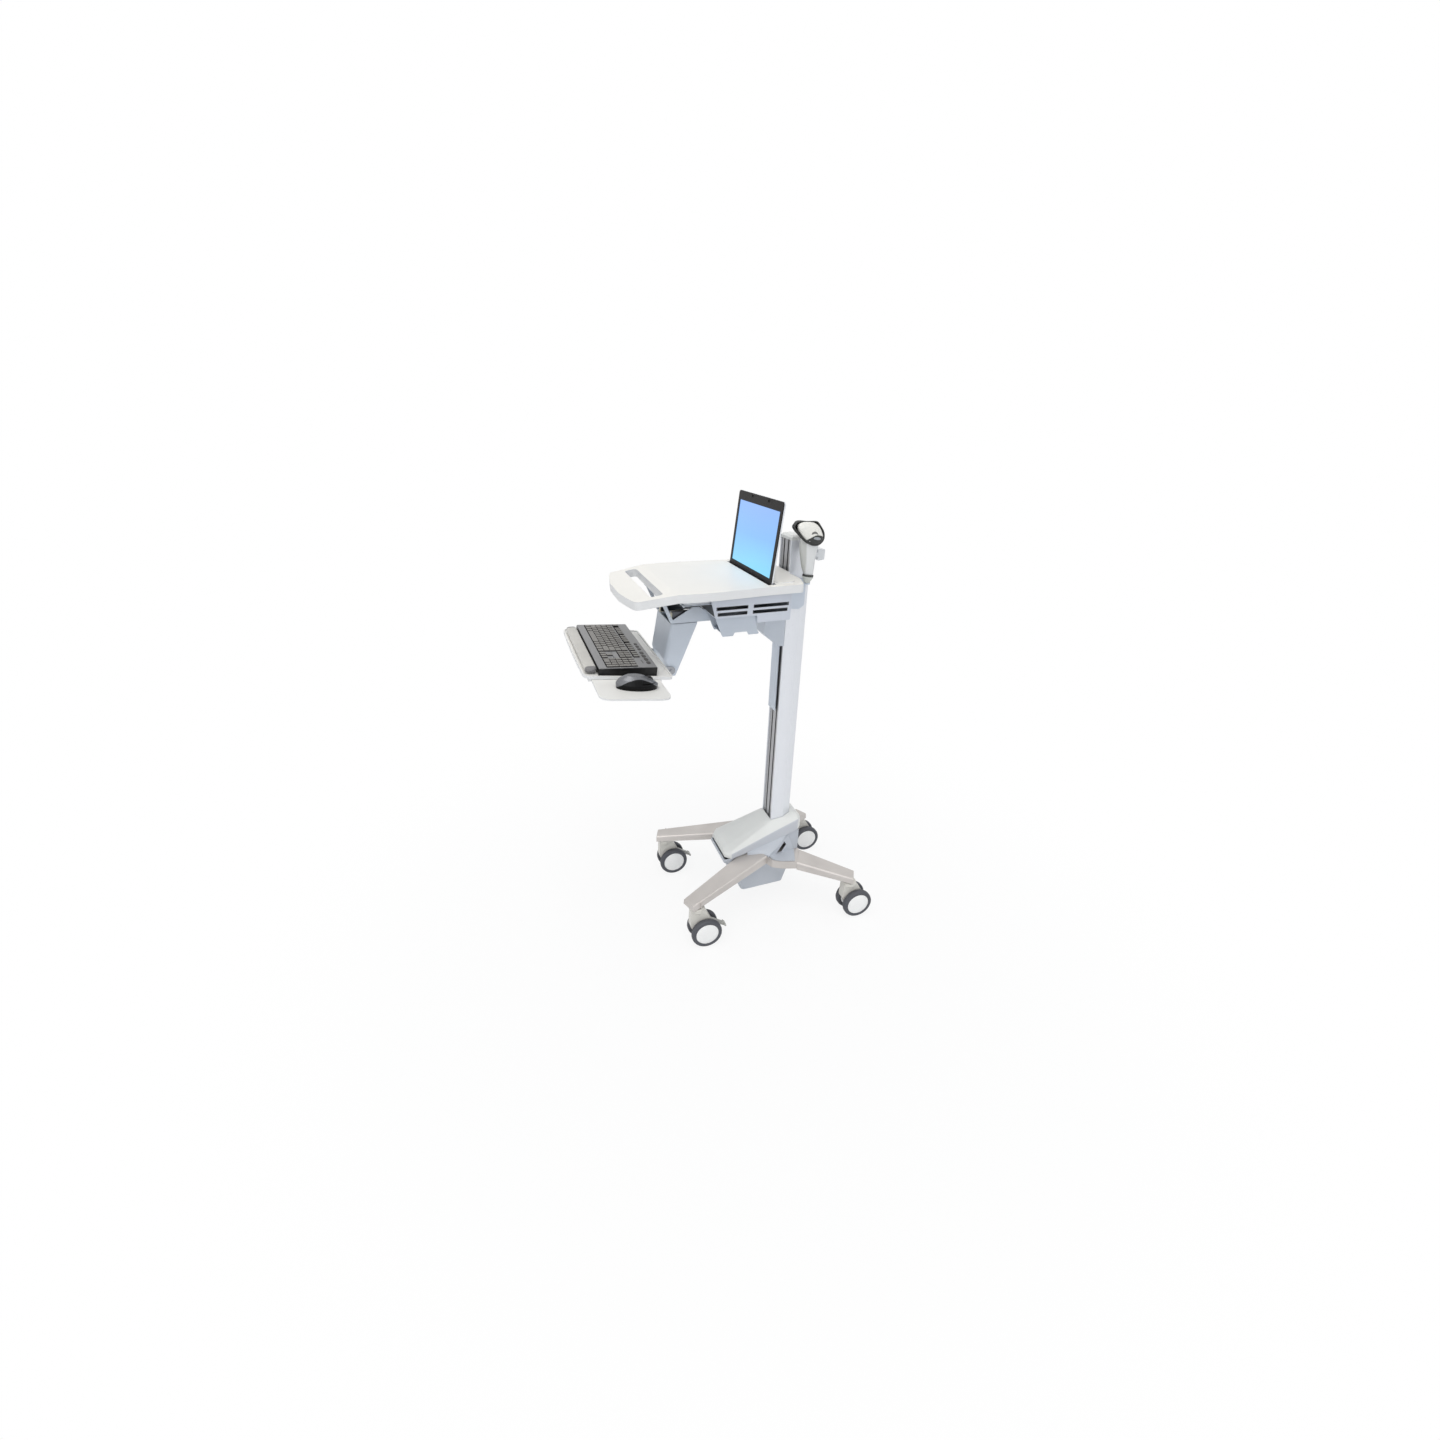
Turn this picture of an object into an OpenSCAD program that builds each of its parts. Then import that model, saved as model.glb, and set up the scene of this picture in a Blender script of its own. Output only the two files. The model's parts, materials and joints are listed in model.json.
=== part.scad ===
// Height-adjustable laptop and medication cart on four swivel casters.
// Millimetres, +Z up, the operator stands on the -Y side and +X is the operator's right.
// Every module places its piece from the column: X = 0 is the column's centre plane,
// Y = 0 its front face and Z = 0 the floor. in_frame() then moves the whole cart so that
// the origin is the bottom centre of its bounding box.

/* [Base] */
// Sideways distance between the caster stems
caster_track = 404; // [360:10:460]
// Front caster stems, ahead of the column's front face
front_reach = 331; // [280:4:360]
// Rear caster stems, behind the column's front face
rear_reach = 243; // [225:5:290]
// Height of the top of a front leg at its tip
front_leg_z = 178; // [175:1:184]
// Height of the top of a rear leg at its tip
rear_leg_z = 169; // [167:1:174]
// Height of the top of the front legs where they leave the hub
front_root_z = 243; // [234:1:246]
// Height of the top of the rear legs where they leave the hub, and of the hub's deck
rear_root_z = 210; // [204:1:214]
// Width of a leg at its tip
leg_end_w = 55; // [48:1:60]
// Width of a leg at the hub
leg_root_w = 86; // [76:1:90]
// Depth of a leg section at its tip
leg_end_h = 22; // [20:1:26]
// Depth of a leg section at the hub
leg_root_h = 30; // [26:1:34]
// Wall of the cast legs
leg_wall = 5; // [3.5:0.5:8]

/* [Casters] */
// Wheel diameter (4 inch casters)
wheel_d = 108; // [96:1:112]
// Width of one of the two tyres of a caster
tyre_w = 20; // [16:1:22]
// Gap between the two wheels of a caster, filled by the fork web
wheel_gap = 30; // [26:1:32]
// Horizontal offset from the swivel stem to the wheel axle
caster_trail = 28; // [26:1:34]
// Direction in which the casters trail, counter-clockwise from +X
caster_heading = 90; // [0:5:355]
// Diameter of the wheel axle
axle_d = 8; // [6:1:12]
// Diameter of the swivel stem
stem_d = 12; // [10:1:16]

/* [Column] */
// Height of the column extrusion's top above the floor
column_top = 1341; // [1282:1:1357]
// Width of the column
column_w = 78; // [70:1:90]
// Depth of the column
column_d = 78; // [70:1:90]
// Wall of the extrusion
column_wall = 3.5; // [2.5:0.5:5]
// Length of the flat side before the rear chamfer
column_side = 46.5; // [40:0.5:60]
// Width of the flat back between the two rear chamfers
column_back = 48; // [40:1:60]
// Recess of the front face between its two corner ribs
face_recess = 3.5; // [2:0.5:4]
// Half the distance between the two front slots
slot_pitch = 14; // [12:0.5:17]
// Width of a front slot
slot_w = 5; // [4:0.5:7]

/* [Base cover] */
// Height of the cover's top at the column
cover_z = 337; // [312:1:357]
// Height of the cover's top edge at its nose
nose_z = 250; // [237:1:262]
// Reach of the cover's nose ahead of the column
nose_reach = 184; // [160:1:200]
// Half width of the cover at its nose
cover_nose_w = 83; // [70:1:90]
// Half width of the cover at its rear
cover_rear_w = 64; // [58:1:74]
// Wall of the plastic covers
cover_wall = 3; // [2:0.5:5]
// Ground clearance under the base pan
pan_z = 76; // [62:1:102]

/* [Head] */
// Height of the worksurface's top above the floor, as set here
work_z = 1244; // [1162:1:1272]
// Largest half width of the worksurface
work_half_w = 208; // [190:1:230]
// Reach of the worksurface's front edge ahead of the column
work_reach = 545; // [500:1:600]
// Depth of the worksurface's rim
work_rim = 24; // [18:1:32]
// Wall of the worksurface moulding
work_wall = 4; // [3:0.5:6]
// Length of the hand slot in the front handle
grip_len = 334; // [260:2:350]
// Width of the hand slot
grip_w = 38; // [30:1:44]
// Half width of the laptop enclosure under the worksurface
encl_half_w = 180; // [172:1:186]
// Height of one vent slot
vent_h = 8; // [5:0.5:10]
// Half width of the keyboard arm and its slide frame
arm_half_w = 80; // [60:1:90]

/* [Laptop] */
// Width of the laptop
laptop_w = 328; // [300:1:334]
// Depth of the laptop's base, and height of its lid
laptop_d = 246; // [220:1:250]
// Lid opening past upright, leaning back
lid_lean = 6.3; // [0:0.1:12]

/* [Keyboard tray] */
// Half width of the keyboard tray
tray_half_w = 221; // [214:1:240]
// Depth of the keyboard tray
tray_d = 260; // [250:1:290]
// Thickness of the keyboard tray
tray_t = 9; // [7:0.5:12]
// Slope of the tray, front edge high
tray_slope = 6.6; // [3:0.1:10]
// Height of the tray's top at its rear edge
tray_z = 1013; // [997:1:1022]
// Width of the keyboard
keyboard_w = 414; // [380:1:420]
// How far the mouse tray sticks out past the keyboard tray
mouse_reach = 137; // [125:1:160]
// Length of the mouse
mouse_len = 118; // [100:1:124]

/* [Scanner] */
// Diameter of the scanner handle at its foot
handle_d = 28; // [24:1:32]
// Length of the scanner handle
handle_len = 98; // [90:1:110]

/* [Hidden] */

// Colours
satin = [0.78, 0.76, 0.74];
white = [0.94, 0.94, 0.92];
cream = [0.97, 0.96, 0.93];
pale_grey = [0.85, 0.86, 0.86];
mid_grey = [0.72, 0.73, 0.73];
blue_grey = [0.40, 0.42, 0.46];
dark = [0.13, 0.13, 0.14];
steel = [0.62, 0.63, 0.65];

// General clearances
eps = 0.01;
running = 0.05;
part_gap = 0.3;
arc_n = 5;

// Casters
wheel_r = wheel_d / 2;
caster_w = 2 * tyre_w + wheel_gap;
front_fork_top = front_leg_z - leg_end_h - 1;
rear_fork_top = rear_leg_z - leg_end_h - 2;
boss_gap = 2;
pedal_at = [44, 84];
pedal_w = 11;
pedal_tip = 106;
pedal_tread = 22;
boss_d = stem_d + 12;
stem_len = 18;
hub_r = 0.74 * wheel_r;
heading = [cos(caster_heading), sin(caster_heading)];

// Legs: caster stems, leg tips beyond them, and the roots of the legs on the hub
front_foot = [caster_track / 2, -front_reach];
rear_foot = [caster_track / 2, rear_reach];
front_tip = front_foot + [3, -31];
rear_tip = rear_foot + [7, 12];
front_root = [81.5, -60];
rear_root = [106.7, 85];
hub_z = front_root_z;
hub_t = 29;
hub_slope = (rear_root_z - front_root_z) / (rear_root[1] - front_root[1]);
hub_low = 150;
hub_front = -100;
hub_rear = 130;

// Base cover and pan
cover_front_z = nose_z - 26;
cover_back_y = column_d + 34;
cover_back_z = cover_z + 8;
housing_gap = 3;
band_z = 214;
apron_t = 3;
pan_front_y = -118;
pan_back_y = 52;
column_foot_z = hub_z - 9;
hook_z = 1290;

// Head
deck_h = 5;
pocket_z = work_z - work_wall;
rim_z = work_z - work_rim;
face_gap = 1;
lid_slot_w = 170;
deck_w = 160;
shelf_w = 171;
shelf_front = -382;
laptop_front = -375;
vent_z = 1188;
vent_pitch = 17;
bracket_x = 100;
bracket_z = 1102;
bend_y = -405;
nose_drop = 20;
nose_slope = nose_drop / (work_reach + bend_y);
strap_z = rim_z - (433 + bend_y) * nose_slope;
grip_y = -457;
encl_front = -303;
encl_back = -56;
encl_z = 1159;
encl_top = 1217;
bay_front = -161;
bay_z = 1138;
panel_t = 3;
laptop_t = 26;
laptop_shelf = 1202;
lid_y = -116;
lid_z = laptop_shelf + laptop_t;
lid_t = 7;
slot_front = -127;
slot_back = -101;
deck_y = slot_back + 9;
rail_z = 1124;
rail_front = -385;
rail_back = bay_front - 5;
rail_x = 64;
rail_w = 16;
arm_top = rail_z - 2;
arm_low = 957;
pin_r = 4;
tray_bracket_x = arm_half_w + 5;
hinge_x = [-115, 115];
hinge_w = 50;
hinge_r = 4.5;
lid_foot = 6;
screen_half_w = 149;
screen_low = 29;
screen_top = laptop_d - 28;
carriage_front = -70;
carriage_low = 1002;
cover_panel_low = 760;
pocket_back = -44;

// Keyboard arm and trays, in the tray's own tilted frame: y = 0 is the rear edge
pivot_y = -392;
pivot_z = 976;
tray_rear_y = -424;
tray_recess = 3;
keyboard_d = 168;
keyboard_y = -214;
keyboard_front_h = 18;
keyboard_rear_h = 25;
key_pitch = 17.8;
key_gap = 0.9;
key_low = -4.5;
key_top = 2.5;
key_y = 24;
key_left = -11.25 * key_pitch;
nav_x = key_left + 15.25 * key_pitch;
pad_x = key_left + 18.5 * key_pitch;
space_x = key_left + 3.75 * key_pitch;
key_slope = atan((keyboard_rear_h - keyboard_front_h) / keyboard_d);
palm_half_w = 200;
guide_x = 100;
pivot_in_tray = [
    (pivot_y - tray_rear_y) * cos(tray_slope) - (pivot_z - tray_z) * sin(tray_slope),
    (pivot_y - tray_rear_y) * sin(tray_slope) + (pivot_z - tray_z) * cos(tray_slope)
];
mouse_tray_y = [-235, -39];
mouse_tray_z = -tray_t - 5.5;
mouse_tray_t = 4.5;
mouse_x = tray_half_w + 56;
mouse_y = -121;
mouse_tray_x0 = 130;
button_x = 6.5;
button_y = 8;
button_z = 20;
wheel_y = 32;
wheel_z = 23;
mouse_w = 62;
mouse_h = 36;

// Scanner, in its own tilted frame: z = 0 is the handle's foot
scanner_at = [97, 33, 1240];
scanner_tilt = -6.5;
head_at = [0, -6, handle_len + 37];
head_pitch = 92.9;
head_turn = 30.2;
hood_roll = -25;
neck_oval = [31, 33];
cup_r = 16;
cup_h = 2.5;
foot_h = 8;
funnel_h = 24;
trigger_x = 15;
trigger_z = 92;
trigger_w = 14;

// Centre of the cart's bounding box, worked out from its outermost pieces
caster_side = caster_w / 2 * abs(sin(caster_heading)) + wheel_r * abs(cos(caster_heading));
caster_fore = caster_w / 2 * abs(cos(caster_heading)) + wheel_r * abs(sin(caster_heading));
left_x = -caster_track / 2 + caster_trail * heading[0] - caster_side;
right_x = tray_half_w + mouse_reach;
rear_y = rear_reach + caster_trail * heading[1] + caster_fore;
front_y = tray_rear_y - tray_d * cos(tray_slope) - tray_t * sin(tray_slope);
frame_x = (left_x + right_x) / 2;
frame_y = (front_y + rear_y) / 2;

module in_frame() {
    translate([-frame_x, -frame_y, 0]) children();
}

// Points of a closed outline [x, y, radius] with its corners rounded by arcs
function unit2(v) = v / norm(v);
function arc_turn(a) = a > 180 ? a - 360 : a < -180 ? a + 360 : a;
function corner(a, p, b) =
    let (
        u = unit2([a[0] - p[0], a[1] - p[1]]),
        v = unit2([b[0] - p[0], b[1] - p[1]]),
        half = acos(max(-1, min(1, u * v))) / 2,
        room = 0.49 * min(norm([a[0] - p[0], a[1] - p[1]]), norm([b[0] - p[0], b[1] - p[1]])),
        r = min(p[2], tan(half) * room),
        c = [p[0], p[1]] + unit2(u + v) * r / sin(half),
        s = [p[0], p[1]] + u * r / tan(half),
        e = [p[0], p[1]] + v * r / tan(half),
        from = atan2(s[1] - c[1], s[0] - c[0]),
        turn = arc_turn(atan2(e[1] - c[1], e[0] - c[0]) - from)
    )
    r <= 0 || half > 89.9 ? [[p[0], p[1]]]
           : [for (k = [0 : arc_n]) c + r * [cos(from + turn * k / arc_n),
                                             sin(from + turn * k / arc_n)]];
function rounded(pts) = [
    for (i = [0 : len(pts) - 1])
        each corner(pts[(i + len(pts) - 1) % len(pts)], pts[i], pts[(i + 1) % len(pts)])
];
function box_pts(w, d, r) = [[-w / 2, -d / 2, r], [w / 2, -d / 2, r],
                             [w / 2, d / 2, r], [-w / 2, d / 2, r]];
function box_pts_at(half_w, y0, y1, r) = [[-half_w, y0, r], [half_w, y0, r],
                                         [half_w, y1, r], [-half_w, y1, r]];
function oval(a, b, n) = [for (k = [0 : n - 1]) [a * cos(360 * k / n), b * sin(360 * k / n)]];
// The right half of a symmetric outline, listed from front to rear, and its mirror image
function both_halves(half) = concat(half, [
    for (i = [len(half) - 1 : -1 : 0]) [-half[i][0], half[i][1], half[i][2]]
]);

// A plate seen from above, from z0 to z1
module slab(pts, z0, z1) {
    translate([0, 0, z0]) linear_extrude(z1 - z0) polygon(rounded(pts));
}

// A side profile of [y, z, radius] points, spread along X from x0 to x1
module profile(pts, x0, x1) {
    translate([x0, 0, 0]) rotate([90, 0, 90]) linear_extrude(x1 - x0) polygon(rounded(pts));
}

// A front profile of [x, z, radius] points, spread along Y from y0 to y1
module front_profile(pts, y0, y1) {
    translate([0, y1, 0]) rotate([90, 0, 0]) linear_extrude(y1 - y0) polygon(rounded(pts));
}

module block(low, high) {
    translate(low) cube(high - low);
}

module mirror_x() {
    mirror([1, 0, 0]) children();
}

// ---------- Base ----------

// One end of a leg: a rounded section across the leg, thin along it
module leg_section(at, heading_deg, w, h, top, r) {
    translate([at[0], at[1], top]) rotate([0, 0, heading_deg]) rotate([90, 0, 90])
        linear_extrude(0.1) polygon(rounded([
            [-w / 2, -h, 1], [w / 2, -h, 1], [w / 2 - 2, 0, r], [-w / 2 + 2, 0, r]
        ]));
}

// The tapering form of a leg, inset by its wall or grown by a clearance
module leg_form(root, root_z, tip, tip_z, inset) {
    d = unit2(tip - root);
    deg = atan2(d[1], d[0]);
    low = abs(inset);
    hull() {
        leg_section(root + d * inset, deg, leg_root_w - 2 * inset, leg_root_h + low, root_z - inset, 6);
        leg_section(tip - d * inset, deg, leg_end_w - 2 * inset, leg_end_h + low, tip_z - inset, 6);
    }
}

// A tapered leg, open below, with a boss for the caster stem near its tip
module leg(root, root_z, tip, tip_z, foot, boss_z) {
    d = unit2(tip - root);
    foot_z = tip_z + (root_z - tip_z) * norm(tip - foot) / norm(tip - root);
    boss_h = foot_z - leg_wall - boss_z + 1;
    rib = leg_end_w / 2 - leg_wall + 1;
    difference() {
        leg_form(root, root_z, tip, tip_z, 0);
        leg_form(root, root_z, tip, tip_z, leg_wall);
    }
    translate([foot[0], foot[1], boss_z]) difference() {
        union() {
            cylinder(d = boss_d, h = boss_h, $fn = 48);
            rotate([0, 0, atan2(d[1], d[0])]) block([-2, -rib, 3], [2, rib, boss_h]);
        }
        translate([0, 0, -1]) cylinder(d = stem_d + 2 * running, h = stem_len + 1, $fn = 48);
    }
}

module front_leg() color(satin)
    leg(front_root, front_root_z, front_tip, front_leg_z, front_foot, front_fork_top + boss_gap);
module rear_leg() color(satin)
    leg(rear_root, rear_root_z, rear_tip, rear_leg_z, rear_foot, rear_fork_top + boss_gap);
module front_right_leg() in_frame() front_leg();
module front_left_leg() in_frame() mirror_x() front_leg();
module rear_right_leg() in_frame() rear_leg();
module rear_left_leg() in_frame() mirror_x() rear_leg();

// A leg's pad on the hub, left and right of the leg's direction, and the way back into the hub
function pad(root, tip) =
    let (d = unit2(tip - root), p = [-d[1], d[0]], half = leg_root_w / 2 + 1)
    [each [root - p * half, root + p * half], -d];

// Height of the hub's sloping top
function hub_top(y) = hub_z + (y - front_root[1]) * hub_slope;

// Room above the hub (side = 1) or below it (side = -1), a little way off it
module hub_room(side, gap) {
    face = [for (y = [hub_front, hub_rear]) hub_top(y) - (side < 0 ? hub_t : 0) + side * gap];
    profile([
        [hub_front, face[0], 0], [hub_rear, face[1], 0],
        [hub_rear, hub_z + side * 160, 0], [hub_front, hub_z + side * 160, 0]
    ], -200, 200);
}

// Everything from the hub's top down
module hub_below() {
    profile([[hub_front, hub_low, 0], [hub_rear, hub_low, 0], [hub_rear, hub_top(hub_rear) + 0.1, 0],
             [hub_front, hub_top(hub_front) + 0.1, 0]], -200, 200);
}

// Cast hub: the legs butt against its four pads and the column stands on its pedestal
module base_hub() in_frame() color(satin) {
    front = pad(front_root, front_tip);
    rear = pad(rear_root, rear_tip);
    outline = [[each front[0], 0], [each front[1], 0], [140, -34, 12], [147, 0, 80],
               [each rear[0], 0], [each rear[1], 0]];
    difference() {
        slab(both_halves(outline), hub_low, hub_z + 10);
        hub_room(1, 0);
        hub_room(-1, 0);
    }
    difference() {
        block([-column_w / 2, 0, hub_z - hub_t], [column_w / 2, column_d, column_foot_z]);
        slab(box_pts_at(column_w / 2 - 9, 9, column_d - 9, 6), column_foot_z - 8, column_foot_z + 1);
    }
}

// Bolts that pull each leg against its pad, seen from below inside the legs
module leg_bolts() in_frame() color(steel) {
    for (leg_at = [[front_root, front_tip, front_root_z], [rear_root, rear_tip, rear_root_z]],
         flip = [0, 1], side = [-1, 1]) mirror([flip, 0, 0]) {
            d = unit2(leg_at[1] - leg_at[0]);
            at = leg_at[0] + d * leg_wall;
            translate([at[0], at[1], leg_at[2] - leg_root_h + 13]) rotate([0, 0, atan2(d[1], d[0])])
                translate([0, side * leg_root_w / 4, 0]) rotate([0, 90, 0]) {
                    cylinder(d = 18, h = 1.6, $fn = 32);
                    translate([0, 0, 1.6]) cylinder(d = 15, h = 7, $fn = 6);
                }
        }
}

// One cross-section of the base cover: half width, height at the shoulder and at the crown
module cover_section(y, half_w, low, shoulder, crown) {
    translate([0, y, 0]) rotate([90, 0, 0]) linear_extrude(0.1) polygon(rounded([
        [-half_w, low, 0], [half_w, low, 0], [half_w, shoulder - 5, 9], [half_w - 9, shoulder + 2, 12],
        [column_w / 2, crown, 30], [-column_w / 2, crown, 30],
        [-half_w + 9, shoulder + 2, 12], [-half_w, shoulder - 5, 9]
    ]));
}

// The cover's outer form, or its inner form when inset by the wall
module cover_form(inset, drop) {
    hull() {
        cover_section(-nose_reach + inset, cover_nose_w - 18 - inset, cover_front_z - drop + 3,
                      nose_z - 10 - inset, nose_z - 6 - inset);
        cover_section(-nose_reach + 20 + inset, cover_nose_w - inset, cover_front_z - drop + 3,
                      nose_z - inset, nose_z + 9 - inset);
        cover_section(0, (cover_nose_w + cover_rear_w) / 2 + 2 - inset, cover_z - 68 - drop,
                      cover_z - 24 - inset, cover_z + 1 - inset);
        cover_section(cover_back_y - 16 - inset, cover_rear_w - inset, cover_z - 44 - drop,
                      cover_back_z - 4 - inset, cover_back_z + 6 - inset);
        cover_section(cover_back_y - inset, cover_rear_w - 16 - inset, cover_z - 40 - drop,
                      cover_back_z - 12 - inset, cover_back_z - 6 - inset);
    }
}

// Outline of the column in plan, grown by a clearance
function column_half(grow) = [
    [column_w / 2 + grow, -grow, 2], [column_w / 2 + grow, column_side + grow / 2, 4],
    [column_back / 2 + grow, column_d + grow, 8]
];

// Sloping plastic cover that wraps round the foot of the column
module base_cover() in_frame() color(white) difference() {
    cover_form(0, 0);
    cover_form(cover_wall, 40);
    slab(both_halves(column_half(0.8)), 100, cover_z + 60);
}

// Band of the housing under the cover's edge, inset by its wall
module band_form(inset) {
    over = inset > 0 ? 2 : 0;
    hull() {
        block([-cover_nose_w + 14 + inset, -nose_reach - 3 + inset, band_z - 9 + inset],
              [cover_nose_w - 14 - inset, -nose_reach + 1 + inset, cover_front_z - 9 + over]);
        block([-cover_nose_w + 1 + inset, -nose_reach + 16 + inset, band_z - 14 + inset],
              [cover_nose_w - 1 - inset, -nose_reach + 18 + inset, cover_front_z + 1 + over]);
        block([-cover_rear_w + 4 + inset, cover_back_y - 10 - inset, band_z - 20],
              [cover_rear_w - 4 - inset, cover_back_y - 8 - inset, cover_z - 44 - housing_gap + over]);
    }
}

// Skirt at one side, flared out on the hub behind the front leg
module skirt_form(inset) {
    over = inset > 0 ? 2 : 0;
    inner = 30;
    hull() {
        block([inner, -60 + inset, band_z + 4], [cover_nose_w - 8 - inset, -58 + inset, band_z + 34 + over]);
        block([inner, 58 - inset, band_z - 4], [cover_rear_w - inset, 60 - inset, band_z + 62 + over]);
        for (at = [[121, -40], [95, 17], [67, 85]])
            block([inner, at[1], hub_top(at[1]) - 6], [at[0] - inset, at[1] + 1, hub_top(at[1]) + 3]);
    }
}

// Band, skirts and two aprons that lie on the hub between the legs
module base_housing() in_frame() color(blue_grey + [0.3, 0.3, 0.3]) {
    difference() {
        union() {
            band_form(0);
            for (side = [0, 1]) mirror([side, 0, 0]) skirt_form(0);
        }
        band_form(cover_wall);
        block([-200, -250, 0], [200, hub_front + 0.3, hub_z * 2]);
        hub_below();
        for (side = [0, 1]) mirror([side, 0, 0]) {
            skirt_form(cover_wall);
            leg_form(front_root, front_root_z, front_tip, front_leg_z, -1.5);
            // Foot recess in the side of the band
            translate([cover_nose_w - 6, 22, band_z + 24]) rotate([31, 0, 0])
                block([-14, -27, -9], [40, 27, 9]);
        }
    }
    difference() {
        slab(both_halves([[100, -34, 6], [124, -32, 6], [136, -28, 10], [143, 0, 70],
                          [139, 56, 3], [72, 85, 2]]), band_z - 30, band_z + 60);
        hub_room(1, apron_t);
        hub_below();
        slab(both_halves([[118, -60, 0], [112, -38, 0], [90, 18, 0], [60, 84, 0], [60, 120, 0]]),
             band_z - 40, band_z + 60);
    }
}

// Outline of the pan's rim, inset by its wall
function pan_rim(inset) = both_halves([
    [cover_nose_w - 20 - inset, -nose_reach + 5 + inset, 12],
    [cover_nose_w - 2 - inset, -nose_reach + 26, 20],
    [cover_rear_w - inset, pan_back_y + 38 - inset, 10]
]);

// Form of the pan below the hub, inset by its wall
module pan_form(inset) {
    hull() {
        slab(pan_rim(inset), band_z - 16, hub_z);
        slab([[-cover_nose_w + 4 + inset, pan_front_y + inset, 14],
              [cover_nose_w - 4 - inset, pan_front_y + inset, 14],
              [cover_rear_w + 3 - inset, pan_back_y - inset, 14],
              [-cover_rear_w - 3 + inset, pan_back_y - inset, 14]],
             pan_z + inset, pan_z + inset + 5);
    }
}

module weight_pan() in_frame() color(mid_grey) difference() {
    union() {
        difference() {
            pan_form(0);
            block([-200, -250, band_z - 11], [200, hub_front, hub_z + 1]);
        }
        // Front wall that closes the gap up to the cover
        intersection() {
            band_form(0);
            block([-200, -250, 0], [200, hub_front, hub_z + 20]);
        }
    }
    pan_form(cover_wall);
    band_form(cover_wall);
    difference() {
        block([-200, hub_front - 1, band_z - 60], [200, hub_rear, hub_z + 1]);
        hub_room(-1, 0.1);
    }
    for (side = [0, 1]) mirror([side, 0, 0])
        leg_form(front_root, front_root_z, front_tip, front_leg_z, -1.5);
}

// Aluminium column with two T-slots behind its recessed front face
module column() in_frame() color(satin + [0.1, 0.1, 0.12]) {
    rib = 6;
    chamber_w = slot_w + 8;
    chamber_y = face_recess + column_wall;
    chamber_d = 7;
    front_wall = chamber_y + chamber_d + column_wall;
    half = [
        [column_w / 2 - rib, face_recess, 0], [column_w / 2 - rib, 0, 0],
        [column_w / 2, 0, 2], [column_w / 2, column_side, 4], [column_back / 2, column_d, 8]
    ];
    inner = [
        [column_w / 2 - column_wall, front_wall, 2],
        [column_w / 2 - column_wall, column_side - 2, 3],
        [column_back / 2 - 1, column_d - column_wall, 6]
    ];
    translate([0, 0, column_foot_z]) linear_extrude(column_top - column_foot_z) difference() {
        polygon(rounded(both_halves(half)));
        polygon(rounded(both_halves(inner)));
        for (side = [-1, 1]) translate([side * slot_pitch, 0]) {
            translate([-slot_w / 2, -1]) square([slot_w, chamber_y + 2]);
            translate([-chamber_w / 2, chamber_y]) square([chamber_w, chamber_d]);
        }
    }
}

module column_cap() in_frame() color(white) {
    hull() {
        slab(both_halves(column_half(0)), column_top, column_top + 8);
        slab(both_halves(column_half(-7)), column_top, column_top + 14);
    }
}

// Hook on the column's back that holds a wound power cord
module cord_hook() in_frame() color(pale_grey) {
    profile([
        [column_d, hook_z - 22, 0], [column_d + 6, hook_z - 22, 2], [column_d + 6, hook_z - 8, 2],
        [column_d + 24, hook_z - 8, 2], [column_d + 24, hook_z - 20, 3], [column_d + 47, hook_z - 18, 3],
        [column_d + 48, hook_z + 14, 3], [column_d + 24, hook_z + 16, 3], [column_d + 24, hook_z + 4, 2],
        [column_d + 6, hook_z + 4, 2], [column_d + 6, hook_z + 18, 2], [column_d, hook_z + 18, 0]
    ], -22, 22);
}

// Closed spring cassette that balances the head, hung inside the column
module lift_cassette() in_frame() color(steel) {
    top = column_top - 30;
    back = column_d - column_wall;
    slab([[-column_back / 2 + 8, 24, 3], [column_back / 2 - 8, 24, 3],
          [column_back / 2 - 8, back, 1], [-column_back / 2 + 8, back, 1]], top - 240, top);
}

// ---------- Casters ----------

// Places a caster's pieces: local +X is the way it trails
module at_caster(foot) {
    translate([foot[0], foot[1], 0]) rotate([0, 0, caster_heading]) children();
}

// Fork: a web between the wheels, a hood round the stem, and ears for the brake pedal
module caster_fork(fork_top, braked) color(pale_grey) {
    web = wheel_gap / 2 - 1;
    difference() {
        union() {
            rotate([90, 0, 0]) translate([0, 0, -web]) linear_extrude(2 * web) polygon(rounded([
                [-24, fork_top - 8, 4], [-26, wheel_r + 24, 18], [-6, wheel_r - 8, 10],
                [caster_trail - 6, wheel_r - 12, 8], [caster_trail + 10, wheel_r - 10, 8],
                [caster_trail + 13, wheel_r + 10, 8], [caster_trail + 8, wheel_r + 30, 6],
                [pedal_at[0] + 8, pedal_at[1] - 6, 5], [pedal_at[0] + 8, pedal_at[1] + 8, 7],
                [24, fork_top - 8, 6]
            ]));
            translate([0, 0, fork_top - 22]) cylinder(d1 = 40, d2 = 50, h = 8, $fn = 48);
            translate([0, 0, fork_top - 14]) cylinder(d = 50, h = 10, $fn = 48);
            translate([0, 0, fork_top - 4]) cylinder(d1 = 50, d2 = 40, h = 4, $fn = 48);
            translate([0, 0, fork_top - 1]) cylinder(d = stem_d, h = stem_len, $fn = 48);
        }
        translate([caster_trail, web + 1, wheel_r]) rotate([90, 0, 0])
            cylinder(d = axle_d + 2 * running, h = 2 * web + 2, $fn = 48);
        if (braked) block([pedal_at[0] - 9, -pedal_w / 2 - 0.4, pedal_at[1] - 14],
                          [pedal_at[0] + 20, pedal_w / 2 + 0.4, pedal_at[1] + 12]);
    }
    if (braked) translate([pedal_at[0], web, pedal_at[1]]) rotate([90, 0, 0])
        cylinder(d = 5, h = 2 * web, $fn = 32);
}

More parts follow.
